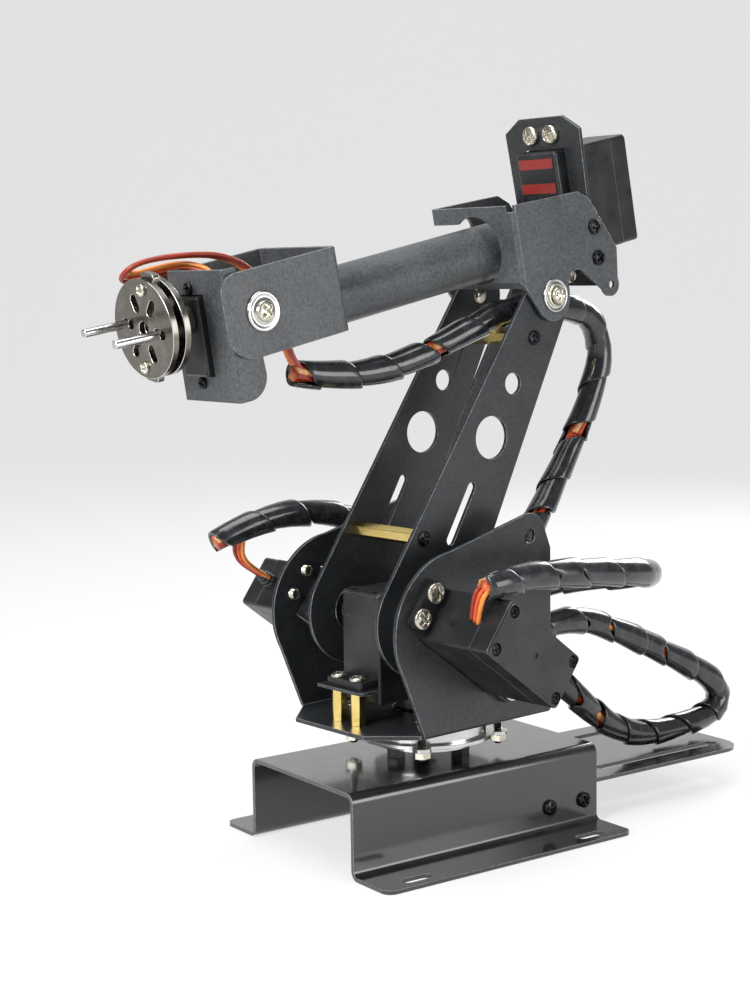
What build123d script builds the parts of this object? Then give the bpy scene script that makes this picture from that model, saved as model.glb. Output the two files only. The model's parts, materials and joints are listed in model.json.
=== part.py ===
from build123d import *
from math import cos, degrees, pi, radians, sin, tan
import os

os.makedirs("parts", exist_ok=True)

# Driving sizes in millimetres. X points where the arm reaches, Z is up, and the
# origin is under the base on the axis the turret turns about.
sheet = 1.5
fit = 0.05
bend = 2.0

# Base and tail plate
base_length = 110.0
base_half_width = 31.8
base_height = 29.7
flange_width = 19.7
slot_x = base_length / 2 - 16.0
slot_y = base_half_width + 13.9
slot_length = 12.0
slot_width = 4.5
tail_top = 16.0
tail_front = -22.0
tail_rear = -135.0
tail_tab_length = 32.0
tail_tab_drop = 12.0
tail_slot_y = 19.5
tail_slot_front = -66.0
tail_slot_rear = -129.0
tail_slot_width = 4.0
side_screw_x = (23.0 - base_length / 2, 6.7 - base_length / 2)
m3_hole = 1.5
floor_height = 16.65
side_screw_z = 9.7

# Turntable bearing
spacer_height = 4.0
spacer_circle = 13.5
race_radius = 19.0
race_rim = 22.7
flange_rim = 25.0
flange_bottom = base_height + 6.5
flange_thickness = 1.4
lug_radius = 26.3

# Turret
turret_yaw = 5.0
turret_half_width = 34.0
floor_top = base_height + floor_height
turret_rear = -30.45
floor_front = 45.5

# Large servo
servo_length = 40.5
servo_width = 20.2
servo_below_ears = 33.0
servo_above_ears = 6.5
servo_shaft_offset = 10.2
servo_ear_span = 57.0
servo_ear_thickness = 2.8
servo_ear_width = 18.6
servo_hole_span = 52.0
servo_hole_pitch = 10.0
servo_cover_depth = 9.0
horn_radius = 9.0
horn_thickness = 2.0
horn_gap = 0.2

# Small servo
mini_length = 26.0
mini_width = 13.0
mini_below_ears = 17.0
mini_above_ears = 4.0
mini_shaft_offset = 5.9
mini_ear_span = 35.8
mini_ear_thickness = 1.8
mini_hole_span = 30.8

# Arm chain in the turret's own plane
shoulder_x = 19.0
shoulder_z = floor_top + 36.25
shoulder_servo_tilt = 36.84
arm_length = 129.2
arm_tilt = -30.26
arm_half_gap = 17.5
arm_root_radius = 19.6
arm_tip_radius = 10.6
arm_hole_middle = 0.8
small_hole_down = 36.5
small_hole_radius = 3.85
large_hole_down = 58.1
large_hole_radius = 7.65
arm_slot_up = 41.1
arm_slot_length = 24.2
arm_slot_width = 3.6
upper_spacer_down = 17.3
forearm_tilt = 11.5
housing_half_width = 21.5
housing_front = 15.0
roll_axis_height = 18.4
roll_ear_face = -28.5
tube_radius = 10.0
tube_start = -15.0
fork_web = 96.7
fork_half_width = 20.6
pivot_forward = 33.0
pivot_up = 5.5
wrist_tilt = -2.5

# Parallel link that turns the elbow
crank_length = 30.9
crank_angle = 173.7
link_half_width = 4.0
crank_thickness = 1.5
shoulder_bolt_radius = 3.0
link_clearance = 0.3

# Tool
disc_radius = 16.0
disc_thickness = 2.2
disc_front = 32.0
disc_spacing = 4.7
pin_circle = 8.5
pin_radius = 1.45
pin_reach = 17.0
tool_screw_circle = 12.6
tool_roll = -11.0

# Cords
sleeve_radius = 5.0
lead_radius = 1.6

floor_bottom = floor_top - sheet
base_top = base_height
wall_inner = base_half_width - sheet

# Rest places of the moving bodies
turret_at = Location((0, 0, 0), (0, 0, turret_yaw))
shoulder_at = turret_at * Location((shoulder_x, 0, shoulder_z))
arm_at = shoulder_at * Location((0, 0, 0), (0, arm_tilt, 0))
elbow_at = arm_at * Location((0, 0, arm_length), (0, forearm_tilt - arm_tilt, 0))
fork_at = elbow_at * Location((fork_web, 0, roll_axis_height))
wrist_at = fork_at * Location((pivot_forward, 0, pivot_up), (0, wrist_tilt, 0))
tool_at = wrist_at * Location((0, 0, 0), (tool_roll, 0, 0))
here = Location((0, 0, 0))


def keep(part, label, at=here):
    # Puts a finished piece in its rest place and writes it
    placed = part.moved(at)
    placed.label = label
    export_step(placed, f"parts/{label}.step")
    return placed


def pan_screw(radius, head_radius, head_height, length):
    # Screw with its head above Z zero and its shank below
    with BuildPart() as screw:
        Cylinder(head_radius, head_height, align=(Align.CENTER, Align.CENTER, Align.MIN))
        chamfer(screw.faces().sort_by(Axis.Z)[-1].edges(), head_height * 0.3)
        if length > 0:
            Cylinder(radius, length, align=(Align.CENTER, Align.CENTER, Align.MAX))
    return screw.part


def set_of(piece, places):
    return Compound([piece.moved(place) for place in places])


def facing(point, direction):
    # Place whose Z points along the direction
    return Plane(origin=point, z_dir=direction).location


m3_screw = pan_screw(m3_hole - fit, 2.8, 1.7, 5.0)

# Base channel, bent from one sheet into a hat section
flange_edge = base_half_width + flange_width
with BuildPart() as base_channel:
    with BuildSketch(Plane.YZ):
        with BuildLine():
            FilletPolyline(
                (-flange_edge, 0),
                (-wall_inner, 0),
                (-wall_inner, base_height - sheet),
                (wall_inner, base_height - sheet),
                (wall_inner, 0),
                (flange_edge, 0),
                radius=[bend + sheet, bend, bend, bend + sheet],
            )
            offset(amount=sheet, side=Side.LEFT)
        make_face()
    extrude(amount=base_length / 2, both=True)
    corners = base_channel.edges().filter_by(Axis.Z).group_by(SortBy.LENGTH)[0]
    fillet(corners.filter_by(lambda e: abs(e.center().Y) > flange_edge - 1), 4)
    with BuildSketch(Plane.XY):
        with GridLocations(2 * slot_x, 2 * slot_y, 2, 2):
            SlotOverall(slot_length, slot_width)
    extrude(amount=sheet, mode=Mode.SUBTRACT)
    with BuildSketch(Plane.XZ):
        with Locations(*[(x, side_screw_z) for x in side_screw_x]):
            Circle(m3_hole)
    extrude(amount=base_half_width, both=True, mode=Mode.SUBTRACT)
    with BuildSketch(Plane.XY.offset(base_height)):
        with PolarLocations(spacer_circle, 3):
            Circle(m3_hole)
    extrude(amount=-sheet, mode=Mode.SUBTRACT)
keep(base_channel.part, "base_channel")

# Slotted tail plate with two tabs bent down inside the base walls
tail_half = wall_inner - fit
with BuildPart() as tail_plate:
    with BuildSketch(Plane.YZ.offset(tail_front - tail_tab_length)):
        with BuildLine():
            FilletPolyline(
                (-tail_half + sheet, tail_top - tail_tab_drop),
                (-tail_half + sheet, tail_top - sheet),
                (tail_half - sheet, tail_top - sheet),
                (tail_half - sheet, tail_top - tail_tab_drop),
                radius=bend,
            )
            offset(amount=sheet, side=Side.LEFT)
        make_face()
    extrude(amount=tail_tab_length)
    with BuildSketch(Plane.XY.offset(tail_top)):
        with Locations(((tail_front - tail_tab_length + tail_rear) / 2, 0)):
            Rectangle(tail_front - tail_tab_length - tail_rear, 2 * tail_half)
    extrude(amount=-sheet)
    fillet(tail_plate.edges().filter_by(Axis.Z).sort_by(Axis.X)[:2], 10)
    with BuildSketch(Plane.XY.offset(tail_top)):
        with Locations(((tail_slot_front + tail_slot_rear) / 2, 0)):
            with GridLocations(0, 2 * tail_slot_y, 1, 2):
                SlotOverall(tail_slot_front - tail_slot_rear, tail_slot_width)
    extrude(amount=-sheet, mode=Mode.SUBTRACT)
    with BuildSketch(Plane.XZ):
        with Locations(*[(x, side_screw_z) for x in side_screw_x]):
            Circle(m3_hole)
    extrude(amount=base_half_width, both=True, mode=Mode.SUBTRACT)
keep(tail_plate.part, "tail_plate")

side_places = []
for side in (-1, 1):
    for x in side_screw_x:
        side_places.append(facing((x, side * base_half_width, side_screw_z), (0, side, 0)))

# Three spacers carry the fixed race above the base
with BuildPart() as spacers:
    with BuildSketch(Plane.XY.offset(base_top)):
        with PolarLocations(spacer_circle, 3):
            RegularPolygon(3.1, 6, major_radius=False)
        with PolarLocations(spacer_circle, 3):
            Circle(m3_hole, mode=Mode.SUBTRACT)
    extrude(amount=spacer_height)
keep(spacers.part, "bearing_spacers")
spacer_screw = pan_screw(m3_hole - fit, 2.8, 1.7, sheet + spacer_height + 3)
spacer_places = []
for turn in (0, 120, 240):
    spot = Vector(spacer_circle, 0, base_top - sheet).rotate(Axis.Z, turn)
    spacer_places.append(facing(spot, (0, 0, -1)))
side_set = set_of(m3_screw, side_places)
keep(Compound([side_set, set_of(spacer_screw, spacer_places)]), "base_screws")

race_bottom = base_top + spacer_height
horn_top = floor_top + 6.45
yaw_ear_face = horn_top + servo_above_ears
horn_low = horn_top - horn_gap - horn_thickness
with BuildPart() as fixed_race:
    with BuildSketch(Plane.XZ):
        with BuildLine():
            Polyline(
                (4, race_bottom),
                (race_radius - fit, race_bottom),
                (race_radius - fit, floor_bottom - 0.8),
                (9.5, floor_bottom - 0.8),
                (9.5, horn_low),
                (4, horn_low),
                close=True,
            )
        make_face()
    revolve(axis=Axis.Z)
    with BuildSketch(Plane.XY.offset(race_bottom)):
        with PolarLocations(spacer_circle, 3):
            Circle(m3_hole)
    extrude(amount=3.1, mode=Mode.SUBTRACT)
keep(fixed_race.part, "bearing_fixed_race")

with BuildPart() as turning_race:
    with BuildSketch(Plane.XZ):
        with BuildLine():
            Polyline(
                (race_radius, flange_bottom),
                (flange_rim, flange_bottom),
                (flange_rim, flange_bottom + flange_thickness),
                (race_rim, flange_bottom + flange_thickness),
                (race_rim, floor_bottom),
                (race_radius, floor_bottom),
                close=True,
            )
        make_face()
    revolve(axis=Axis.Z)
    with BuildSketch(Plane.XY.offset(flange_bottom)):
        with PolarLocations(lug_radius, 4, start_angle=45):
            Circle(3.4)
        Circle(race_rim - 1, mode=Mode.SUBTRACT)
    extrude(amount=flange_thickness)
    with BuildSketch(Plane.XY.offset(flange_bottom)):
        with PolarLocations(lug_radius, 4, start_angle=45):
            Circle(m3_hole)
    extrude(amount=flange_thickness, mode=Mode.SUBTRACT)
keep(turning_race.part, "bearing_turning_race", turret_at)

with BuildPart() as bearing_bolt:
    Cylinder(m3_hole - fit, 13.6, align=(Align.CENTER, Align.CENTER, Align.MAX))
    Cylinder(2.8, 1.7, align=(Align.CENTER, Align.CENTER, Align.MIN))
with BuildPart() as bearing_nut:
    with BuildSketch(Plane.XY.offset(flange_bottom)):
        RegularPolygon(2.75, 6, major_radius=False)
        Circle(m3_hole, mode=Mode.SUBTRACT)
    extrude(amount=-2.4)
bolt_ring = []
nut_ring = []
for turn in (45, 135, 225, 315):
    spot = Vector(lug_radius, 0, 0).rotate(Axis.Z, turn)
    bolt_ring.append(Location((spot.X, spot.Y, floor_top)))
    nut_ring.append(Location((spot.X, spot.Y, 0)))
keep(set_of(bearing_bolt.part, bolt_ring), "bearing_bolts", turret_at)
keep(set_of(bearing_nut.part, nut_ring), "bearing_nuts", turret_at)


def servo_holes(span, pitch):
    # Ear holes about the middle of a servo's body
    if pitch > 0:
        return [(x, y) for x in (-span / 2, span / 2) for y in (-pitch / 2, pitch / 2)]
    return [(-span / 2, 0), (span / 2, 0)]


def servo_case(length, width, below, above, shaft, ears, ear_thick, ear_wide, span, pitch, hole, cover):
    # Gear case and middle, with the ears' shaft side at Z zero and the shaft on Z
    with BuildPart() as case:
        with BuildSketch(Plane.XY.offset(cover - below)):
            with Locations((-shaft, 0)):
                RectangleRounded(length, width, 1.2)
        extrude(amount=below - cover + above)
        chamfer(case.faces().sort_by(Axis.Z)[-1].edges(), 0.6)
        with BuildSketch(Plane.XY):
            with Locations((-shaft, 0)):
                RectangleRounded(ears, ear_wide, 1.5)
            with Locations(*[(x - shaft, y) for x, y in servo_holes(span, pitch)]):
                Circle(hole, mode=Mode.SUBTRACT)
        extrude(amount=-ear_thick)
        with BuildSketch(Plane.XY.offset(above)):
            Circle(2.9)
        extrude(amount=-2.0, mode=Mode.SUBTRACT)
    return case.part


def servo_cover(length, width, below, shaft, cover, screw_inset):
    # Bottom cover, with a round recess over each of its four screws
    with BuildPart() as shell:
        with BuildSketch(Plane.XY.offset(-below)):
            with Locations((-shaft, 0)):
                RectangleRounded(length, width, 1.6)
        extrude(amount=cover)
        chamfer(shell.faces().sort_by(Axis.Z)[0].edges(), 0.8)
        with BuildSketch(Plane.XY.offset(-below)):
            with Locations((-shaft, 0)):
                with GridLocations(length - 2 * screw_inset, width - 2 * screw_inset, 2, 2):
                    Circle(2.2)
        extrude(amount=1.2, mode=Mode.SUBTRACT)
        with BuildSketch(Plane.XY.offset(-below)):
            with Locations((-shaft, 0)):
                Circle(1.1)
        extrude(amount=0.4, mode=Mode.SUBTRACT)
    return shell.part


cover_inset = 3.0
big_case = servo_case(
    servo_length,
    servo_width,
    servo_below_ears,
    servo_above_ears,
    servo_shaft_offset,
    servo_ear_span,
    servo_ear_thickness,
    servo_ear_width,
    servo_hole_span,
    servo_hole_pitch,
    2.1,
    servo_cover_depth,
)
big_cover = servo_cover(
    servo_length, servo_width, servo_below_ears, servo_shaft_offset, servo_cover_depth, cover_inset
)
cover_screws = []
for x in (cover_inset - servo_length / 2, servo_length / 2 - cover_inset):
    for y in (cover_inset - servo_width / 2, servo_width / 2 - cover_inset):
        place = facing((x - servo_shaft_offset, y, 1.2 - servo_below_ears), (0, 0, -1))
        cover_screws.append(place)
cover_screw = pan_screw(1.0, 1.9, 1.3, 0)
cover_screw_set = set_of(cover_screw, cover_screws)


def horn(radius, thickness, gap, hub_radius, sink):
    # Disc on the output shaft, whose stub runs in the gear case
    with BuildPart() as disc:
        with BuildSketch(Plane.XY.offset(gap)):
            Circle(radius)
            with PolarLocations(radius * 0.7, 4, start_angle=45):
                Circle(0.8, mode=Mode.SUBTRACT)
        extrude(amount=thickness)
        with BuildSketch(Plane.XY.offset(-sink)):
            Circle(hub_radius)
        extrude(amount=sink + gap)
    return disc.part


big_horn = horn(horn_radius, horn_thickness, horn_gap, 2.9 - fit, 1.9)
big_hole_places = [(x - servo_shaft_offset, y) for x, y in servo_holes(servo_hole_span, servo_hole_pitch)]

# Yaw servo upside down over the turntable, its shaft on the yaw axis
yaw_at = Plane(origin=(0, 0, yaw_ear_face), x_dir=(-1, 0, 0), z_dir=(0, 0, -1)).location
keep(big_case, "yaw_servo_case", turret_at * yaw_at)
keep(big_cover, "yaw_servo_cover", turret_at * yaw_at)
keep(big_horn, "yaw_servo_horn", yaw_at * Location((0, 0, servo_above_ears)))

# Turret bracket, a floor with two outlined cheeks
near_servo_at = Plane(
    origin=(shoulder_x, turret_half_width, shoulder_z),
    x_dir=(cos(radians(shoulder_servo_tilt)), 0, sin(radians(shoulder_servo_tilt))),
    z_dir=(0, -1, 0),
).location
far_servo_at = Plane(
    origin=(shoulder_x, -turret_half_width, shoulder_z),
    x_dir=(cos(radians(shoulder_servo_tilt)), 0, sin(radians(shoulder_servo_tilt))),
    z_dir=(0, 1, 0),
).location
servo_window = 0.3


def cheek(x, z):
    # Point of a cheek's outline, from the shoulder
    return (shoulder_x + x, shoulder_z + z)


with BuildPart() as turret:
    with BuildSketch(Plane.XZ):
        with BuildLine():
            Polyline((turret_rear, floor_bottom), (30.4, floor_bottom), cheek(21.3, -13.6))
            ThreePointArc(cheek(21.3, -13.6), cheek(24.5, -0.1), cheek(15.6, 18.6))
            ThreePointArc(cheek(15.6, 18.6), cheek(8.4, 23.6), cheek(-0.2, 26.0))
            Line(cheek(-0.2, 26.0), cheek(-36.0, 35.1))
            ThreePointArc(cheek(-36.0, 35.1), cheek(-43.6, 34.1), cheek(-46.8, 28.9))
            Polyline(cheek(-46.8, 28.9), (turret_rear, shoulder_z + 22.4), (turret_rear, floor_bottom))
        make_face()
        with Locations(cheek(-38.9, 27.6)):
            Circle(2.7, mode=Mode.SUBTRACT)
    extrude(amount=turret_half_width, both=True)
    with BuildSketch(Plane.YZ.offset(turret_rear)):
        with Locations((0, floor_top + 50)):
            Rectangle(2 * (turret_half_width - sheet), 100)
    extrude(amount=90, mode=Mode.SUBTRACT)
    fillet(turret.edges().filter_by(Axis.X).group_by(Axis.Z)[0], bend)
    with BuildSketch(Plane.XY.offset(floor_bottom)):
        with BuildLine():
            Polyline(
                (29.0, -turret_half_width + bend),
                (31.4, -turret_half_width + bend),
                (floor_front, -18.5),
                (floor_front, 18.5),
                (31.4, turret_half_width - bend),
                (29.0, turret_half_width - bend),
                close=True,
            )
        make_face()
    extrude(amount=sheet)
    with BuildSketch(Plane.XY.offset(floor_bottom)):
        Circle(12)
        with PolarLocations(lug_radius, 4, start_angle=45):
            Circle(m3_hole)
        with Locations((36.2, -5), (36.2, 5), (-15.8, -5), (-15.8, 5)):
            Circle(m3_hole)
    extrude(amount=sheet, mode=Mode.SUBTRACT)
    for place in (near_servo_at, far_servo_at):
        with BuildSketch(Plane(place)):
            with Locations((-servo_shaft_offset, 0)):
                RectangleRounded(servo_length + 2 * servo_window, servo_width + 2 * servo_window, 1)
            with Locations(*big_hole_places):
                Circle(2.0)
        extrude(amount=sheet + 1, mode=Mode.SUBTRACT)
keep(turret.part, "turret_bracket", turret_at)

# Supports of the yaw servo: winged plates on hexagonal posts
front_post_x = servo_shaft_offset + servo_hole_span / 2
rear_post_x = servo_shaft_offset - servo_hole_span / 2
post_spots = []
for x in (front_post_x, rear_post_x):
    for y in (-servo_hole_pitch / 2, servo_hole_pitch / 2):
        post_spots.append((x, y))
support_plate = 1.0
with BuildPart() as supports:
    with BuildSketch(Plane.XY.offset(yaw_ear_face - support_plate)):
        with Locations((front_post_x + 0.6, 0), (rear_post_x - 0.6, 0)):
            RectangleRounded(8.4, 25.2, 2)
        with Locations(*post_spots):
            Circle(m3_hole, mode=Mode.SUBTRACT)
    extrude(amount=support_plate)
keep(supports.part, "yaw_support_plates", turret_at)
with BuildPart() as posts:
    with BuildSketch(Plane.XY.offset(floor_top)):
        with Locations(*post_spots):
            RegularPolygon(2.5, 6, major_radius=False)
        with Locations(*post_spots):
            Circle(m3_hole, mode=Mode.SUBTRACT)
    extrude(amount=yaw_ear_face - support_plate - floor_top)
keep(posts.part, "yaw_posts", turret_at)
ear_back = yaw_ear_face + servo_ear_thickness
keep(set_of(m3_screw, [Location((x, y, ear_back)) for x, y in post_spots]), "yaw_ear_screws", turret_at)

keep(big_case, "near_shoulder_servo_case", turret_at * near_servo_at)
keep(big_cover, "near_shoulder_servo_cover", turret_at * near_servo_at)
keep(big_case, "far_shoulder_servo_case", turret_at * far_servo_at)
keep(big_cover, "far_shoulder_servo_cover", turret_at * far_servo_at)
turret_covers = [cover_screw_set.moved(place) for place in (near_servo_at, far_servo_at, yaw_at)]
keep(Compound(turret_covers), "turret_cover_screws", turret_at)
ear_screw = pan_screw(2.0 - fit, 3.6, 2.4, servo_ear_thickness + sheet + 2)
shoulder_ear_places = []
for place in (near_servo_at, far_servo_at):
    for x, y in big_hole_places:
        spot = place * facing((x, y, -servo_ear_thickness), (0, 0, -1))
        shoulder_ear_places.append(spot)
keep(set_of(ear_screw, shoulder_ear_places), "shoulder_ear_screws", turret_at)


# Lower arm plates, drawn with S up the arm and N forward
arm_spacer_spots = [(-0.5, arm_length - upper_spacer_down), (12.7, 26.1)]


def arm_plate(inner_y, near):
    taper = arm_root_radius - arm_tip_radius
    lean = degrees(taper / arm_length)
    with BuildPart() as plate:
        with BuildSketch(Plane.XZ.offset(-inner_y)):
            with BuildLine():
                front_low = (arm_root_radius * cos(radians(lean)), arm_root_radius * sin(radians(lean)))
                front_high = (
                    arm_tip_radius * cos(radians(lean)),
                    arm_length + arm_tip_radius * sin(radians(lean)),
                )
                Line(front_low, front_high)
                ThreePointArc(front_high, (0, arm_length + arm_tip_radius), (-front_high[0], front_high[1]))
                Line((-front_high[0], front_high[1]), (-front_low[0], front_low[1]))
                ThreePointArc((-front_low[0], front_low[1]), (0, -arm_root_radius), front_low)
            make_face()
            with Locations((arm_hole_middle, arm_length - small_hole_down)):
                Circle(small_hole_radius, mode=Mode.SUBTRACT)
            with Locations((arm_hole_middle, arm_length - large_hole_down)):
                Circle(large_hole_radius, mode=Mode.SUBTRACT)
            with Locations((arm_hole_middle, arm_slot_up)):
                SlotOverall(arm_slot_length, arm_slot_width, rotation=90, mode=Mode.SUBTRACT)
            with Locations(*arm_spacer_spots):
                Circle(m3_hole, mode=Mode.SUBTRACT)
            with Locations((0, arm_length)):
                Circle(shoulder_bolt_radius, mode=Mode.SUBTRACT)
            if not near:
                Circle(8.0, mode=Mode.SUBTRACT)
        extrude(amount=-sheet)
    return plate.part


arm_outer = arm_half_gap + sheet
keep(arm_plate(arm_half_gap, True), "arm_plate_near", arm_at)
keep(arm_plate(-arm_outer, False), "arm_plate_far", arm_at)

with BuildPart() as arm_spacers:
    with BuildSketch(Plane.XZ.offset(-arm_half_gap)):
        with Locations(*arm_spacer_spots):
            RegularPolygon(2.5, 6, major_radius=False)
        with Locations(*arm_spacer_spots):
            Circle(m3_hole, mode=Mode.SUBTRACT)
    extrude(amount=2 * arm_half_gap)
keep(arm_spacers.part, "arm_spacers", arm_at)
arm_screw_places = []
for side in (-1, 1):
    for n, s in arm_spacer_spots:
        arm_screw_places.append(facing((n, side * arm_outer, s), (0, side, 0)))
low_screw = pan_screw(m3_hole - fit, 2.7, 0.9, 6.0)
keep(set_of(low_screw, arm_screw_places), "arm_spacer_screws", arm_at)

# Near shoulder drive: horn, round block and plate
horn_face = turret_half_width - servo_above_ears
near_horn_at = Location((0, horn_face, 0), (90, 0, 0))
keep(big_horn, "near_shoulder_horn", arm_at * near_horn_at)
block_outer = horn_face - horn_gap - horn_thickness
with BuildPart() as near_block:
    with BuildSketch(Plane.XZ.offset(-arm_outer)):
        Circle(12)
        Circle(3, mode=Mode.SUBTRACT)
    extrude(amount=-(block_outer - arm_outer))
    chamfer(near_block.faces().sort_by(Axis.Y)[0].outer_wire().edges(), 0.5)
keep(near_block.part, "near_shoulder_block", arm_at)

# Far shoulder bearing in its plate, and the crank that runs in it
with BuildPart() as far_bearing:
    with BuildSketch(Plane.XZ.offset(arm_half_gap)):
        Circle(8.0)
        Circle(5.0, mode=Mode.SUBTRACT)
    extrude(amount=sheet)
    with BuildSketch(Plane.XZ.offset(arm_outer)):
        Circle(9.2)
        Circle(5.0, mode=Mode.SUBTRACT)
    extrude(amount=0.8)
keep(far_bearing.part, "shoulder_bearing", arm_at)

crank_x = crank_length * cos(radians(crank_angle))
crank_z = crank_length * sin(radians(crank_angle))
crank_face = horn_face - horn_gap - horn_thickness
crank_inner = crank_face - crank_thickness
link_inner = crank_face + link_clearance
link_pin_radius = 1.5
with BuildPart() as crank:
    with BuildSketch(Plane.XZ.offset(crank_inner)):
        with BuildLine():
            CenterArc((0, 0), 8.5, 0, 360)
        make_face()
        with BuildLine():
            CenterArc((crank_x, crank_z), link_half_width, 0, 360)
        make_face()
        with Locations(((crank_x) / 2, (crank_z) / 2)):
            Rectangle(crank_length, 2 * link_half_width, rotation=crank_angle - 180)
    extrude(amount=crank_thickness)
    with BuildSketch(Plane.XZ.offset(arm_half_gap)):
        Circle(5.0 - fit)
        Circle(2.0, mode=Mode.SUBTRACT)
    extrude(amount=crank_inner - arm_half_gap)
    with BuildSketch(Plane.XZ.offset(crank_face)):
        with Locations((crank_x, crank_z)):
            Circle(link_pin_radius)
    extrude(amount=link_clearance + sheet)
keep(crank.part, "elbow_crank", shoulder_at)
keep(big_horn, "far_shoulder_horn", shoulder_at * Location((0, -horn_face, 0), (-90, 0, 0)))

with BuildPart() as link:
    with BuildSketch(Plane.XZ.offset(link_inner)):
        with Locations((0, arm_length / 2)):
            SlotOverall(arm_length + 2 * link_half_width, 2 * link_half_width, rotation=90)
        Circle(link_pin_radius + link_clearance, mode=Mode.SUBTRACT)
        with Locations((0, arm_length)):
            Circle(link_pin_radius + fit, mode=Mode.SUBTRACT)
    extrude(amount=sheet)
link_at = shoulder_at * Location((crank_x, 0, crank_z), (0, arm_tilt, 0))
keep(link.part, "elbow_link", link_at)

# Elbow housing, drawn with A forward and B up from the elbow axis
housing_inner = housing_half_width - sheet
ear_a = crank_x * cos(radians(forearm_tilt)) - crank_z * sin(radians(forearm_tilt))
ear_b = crank_x * sin(radians(forearm_tilt)) + crank_z * cos(radians(forearm_tilt))
housing_screw_spots = [(-25.0, 20.0), (-25.0, 8.5)]
with BuildPart() as housing:
    with BuildSketch(Plane.XZ):
        with BuildLine():
            Polyline((housing_front, 35.4), (housing_front, 7.8), (8.2, -4.2))
            ThreePointArc((8.2, -4.2), (0, -9.2), (-7.3, 1.9))
            Polyline((-7.3, 1.9), (-10.3, 6.5), (-15.3, 6.4), (-25.9, -3.7))
            ThreePointArc((-25.9, -3.7), (-30.0, -7.0), (-34.3, -1.0))
            Polyline((-34.3, -1.0), (-35.9, 10.2), (-24.7, 30.4), (-19.4, 34.1), (housing_front, 35.4))
        make_face()
        with Locations((ear_a, ear_b)):
            Circle(m3_hole, mode=Mode.SUBTRACT)
        Circle(5.0, mode=Mode.SUBTRACT)
        with Locations(*housing_screw_spots):
            Circle(m3_hole, mode=Mode.SUBTRACT)
    extrude(amount=housing_half_width, both=True)
    with BuildSketch(Plane.XY.offset(-20)):
        with Locations((housing_front - sheet - 40, 0)):
            Rectangle(80, 2 * housing_inner)
    extrude(amount=70, mode=Mode.SUBTRACT)
    fillet(housing.edges().filter_by(Axis.Z).sort_by(Axis.X)[-2:], bend)
    with BuildSketch(Plane.YZ.offset(housing_front - sheet)):
        with Locations((0, roll_axis_height + 1.1)):
            Circle(12.6)
        with Locations((-16, 18.7)):
            Rectangle(24, 21.4)
        with Locations((housing_half_width, 36)):
            Rectangle(7, 6)
    extrude(amount=sheet, mode=Mode.SUBTRACT)
    with BuildSketch(Plane.XZ.offset(housing_inner)):
        with Locations((8.5, 18.7)):
            RectangleRounded(25, 21.4, 4)
    extrude(amount=sheet, mode=Mode.SUBTRACT)
keep(housing.part, "elbow_housing", elbow_at)

# Flanged bearings at the elbow, on shoulder bolts that hold the arm plates
with BuildPart() as elbow_bearings:
    for side in (-1, 1):
        with BuildSketch(Plane.XZ.offset(-side * (arm_outer + 0.3))):
            Circle(5.0)
            Circle(shoulder_bolt_radius, mode=Mode.SUBTRACT)
        extrude(amount=-side * (housing_half_width - arm_outer - 0.3))
        with BuildSketch(Plane.XZ.offset(-side * housing_half_width)):
            Circle(6.1)
            Circle(shoulder_bolt_radius, mode=Mode.SUBTRACT)
        extrude(amount=-side * 0.8)
keep(elbow_bearings.part, "elbow_bearings", elbow_at)
with BuildPart() as elbow_bolt:
    Cylinder(4.2, 1.6, align=(Align.CENTER, Align.CENTER, Align.MIN))
    chamfer(elbow_bolt.faces().sort_by(Axis.Z)[-1].edges(), 0.5)
    bolt_reach = housing_half_width + 0.9 - arm_half_gap
    Cylinder(shoulder_bolt_radius - fit, bolt_reach, align=(Align.CENTER, Align.CENTER, Align.MAX))
elbow_places = []
for side in (-1, 1):
    elbow_places.append(facing((0, side * (housing_half_width + 0.9), arm_length), (0, side, 0)))
keep(set_of(elbow_bolt.part, elbow_places), "elbow_bolts", arm_at)
with BuildPart() as link_pin:
    with BuildSketch(Plane.XZ.offset(housing_half_width)):
        Circle(3.0)
    extrude(amount=link_inner - housing_half_width - 0.1)
    with BuildSketch(Plane.XZ.offset(housing_inner)):
        Circle(link_pin_radius)
    extrude(amount=link_inner + sheet + 0.3 - housing_inner)
    with BuildSketch(Plane.XZ.offset(link_inner + sheet + 0.2)):
        Circle(2.6)
    extrude(amount=1.2)
pin_part = link_pin.part.moved(Location((ear_a, 0, ear_b)))
keep(pin_part, "link_pin", elbow_at)

# Plate that carries the roll servo across the housing
bracket_front = roll_ear_face + sheet
roll_body_up = roll_axis_height + servo_shaft_offset
with BuildPart() as roll_plate:
    with BuildSketch(Plane.YZ.offset(roll_ear_face)):
        with BuildLine():
            Polyline((-18.4, -2.5), (18.4, -2.5), (18.4, 30), (19, 56), (11, 61), (-11, 61), (-19, 56))
            Polyline((-19, 56), (-18.4, 30), (-18.4, -2.5))
        make_face()
    extrude(amount=sheet)
    with BuildSketch(Plane.XZ):
        with Locations((roll_ear_face + 5.0, 14.0)):
            RectangleRounded(10.0, 22.0, 2)
        with Locations(*housing_screw_spots):
            Circle(m3_hole, mode=Mode.SUBTRACT)
    extrude(amount=housing_inner - fit, both=True)
    with BuildSketch(Plane.XY.offset(-10)):
        with Locations((bracket_front + 10, 0)):
            Rectangle(20, 2 * (housing_inner - fit - sheet))
    extrude(amount=80, mode=Mode.SUBTRACT)
    with BuildSketch(Plane.YZ.offset(roll_ear_face)):
        with Locations((0, roll_body_up)):
            Rectangle(servo_width + 2 * servo_window, servo_length + 2 * servo_window)
            with GridLocations(servo_hole_pitch, servo_hole_span, 2, 2):
                Circle(2.0)
    extrude(amount=sheet, mode=Mode.SUBTRACT)
keep(roll_plate.part, "roll_servo_plate", elbow_at)
housing_screw_places = []
for side in (-1, 1):
    for x, z in housing_screw_spots:
        housing_screw_places.append(facing((x, side * housing_half_width, z), (0, side, 0)))
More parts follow.
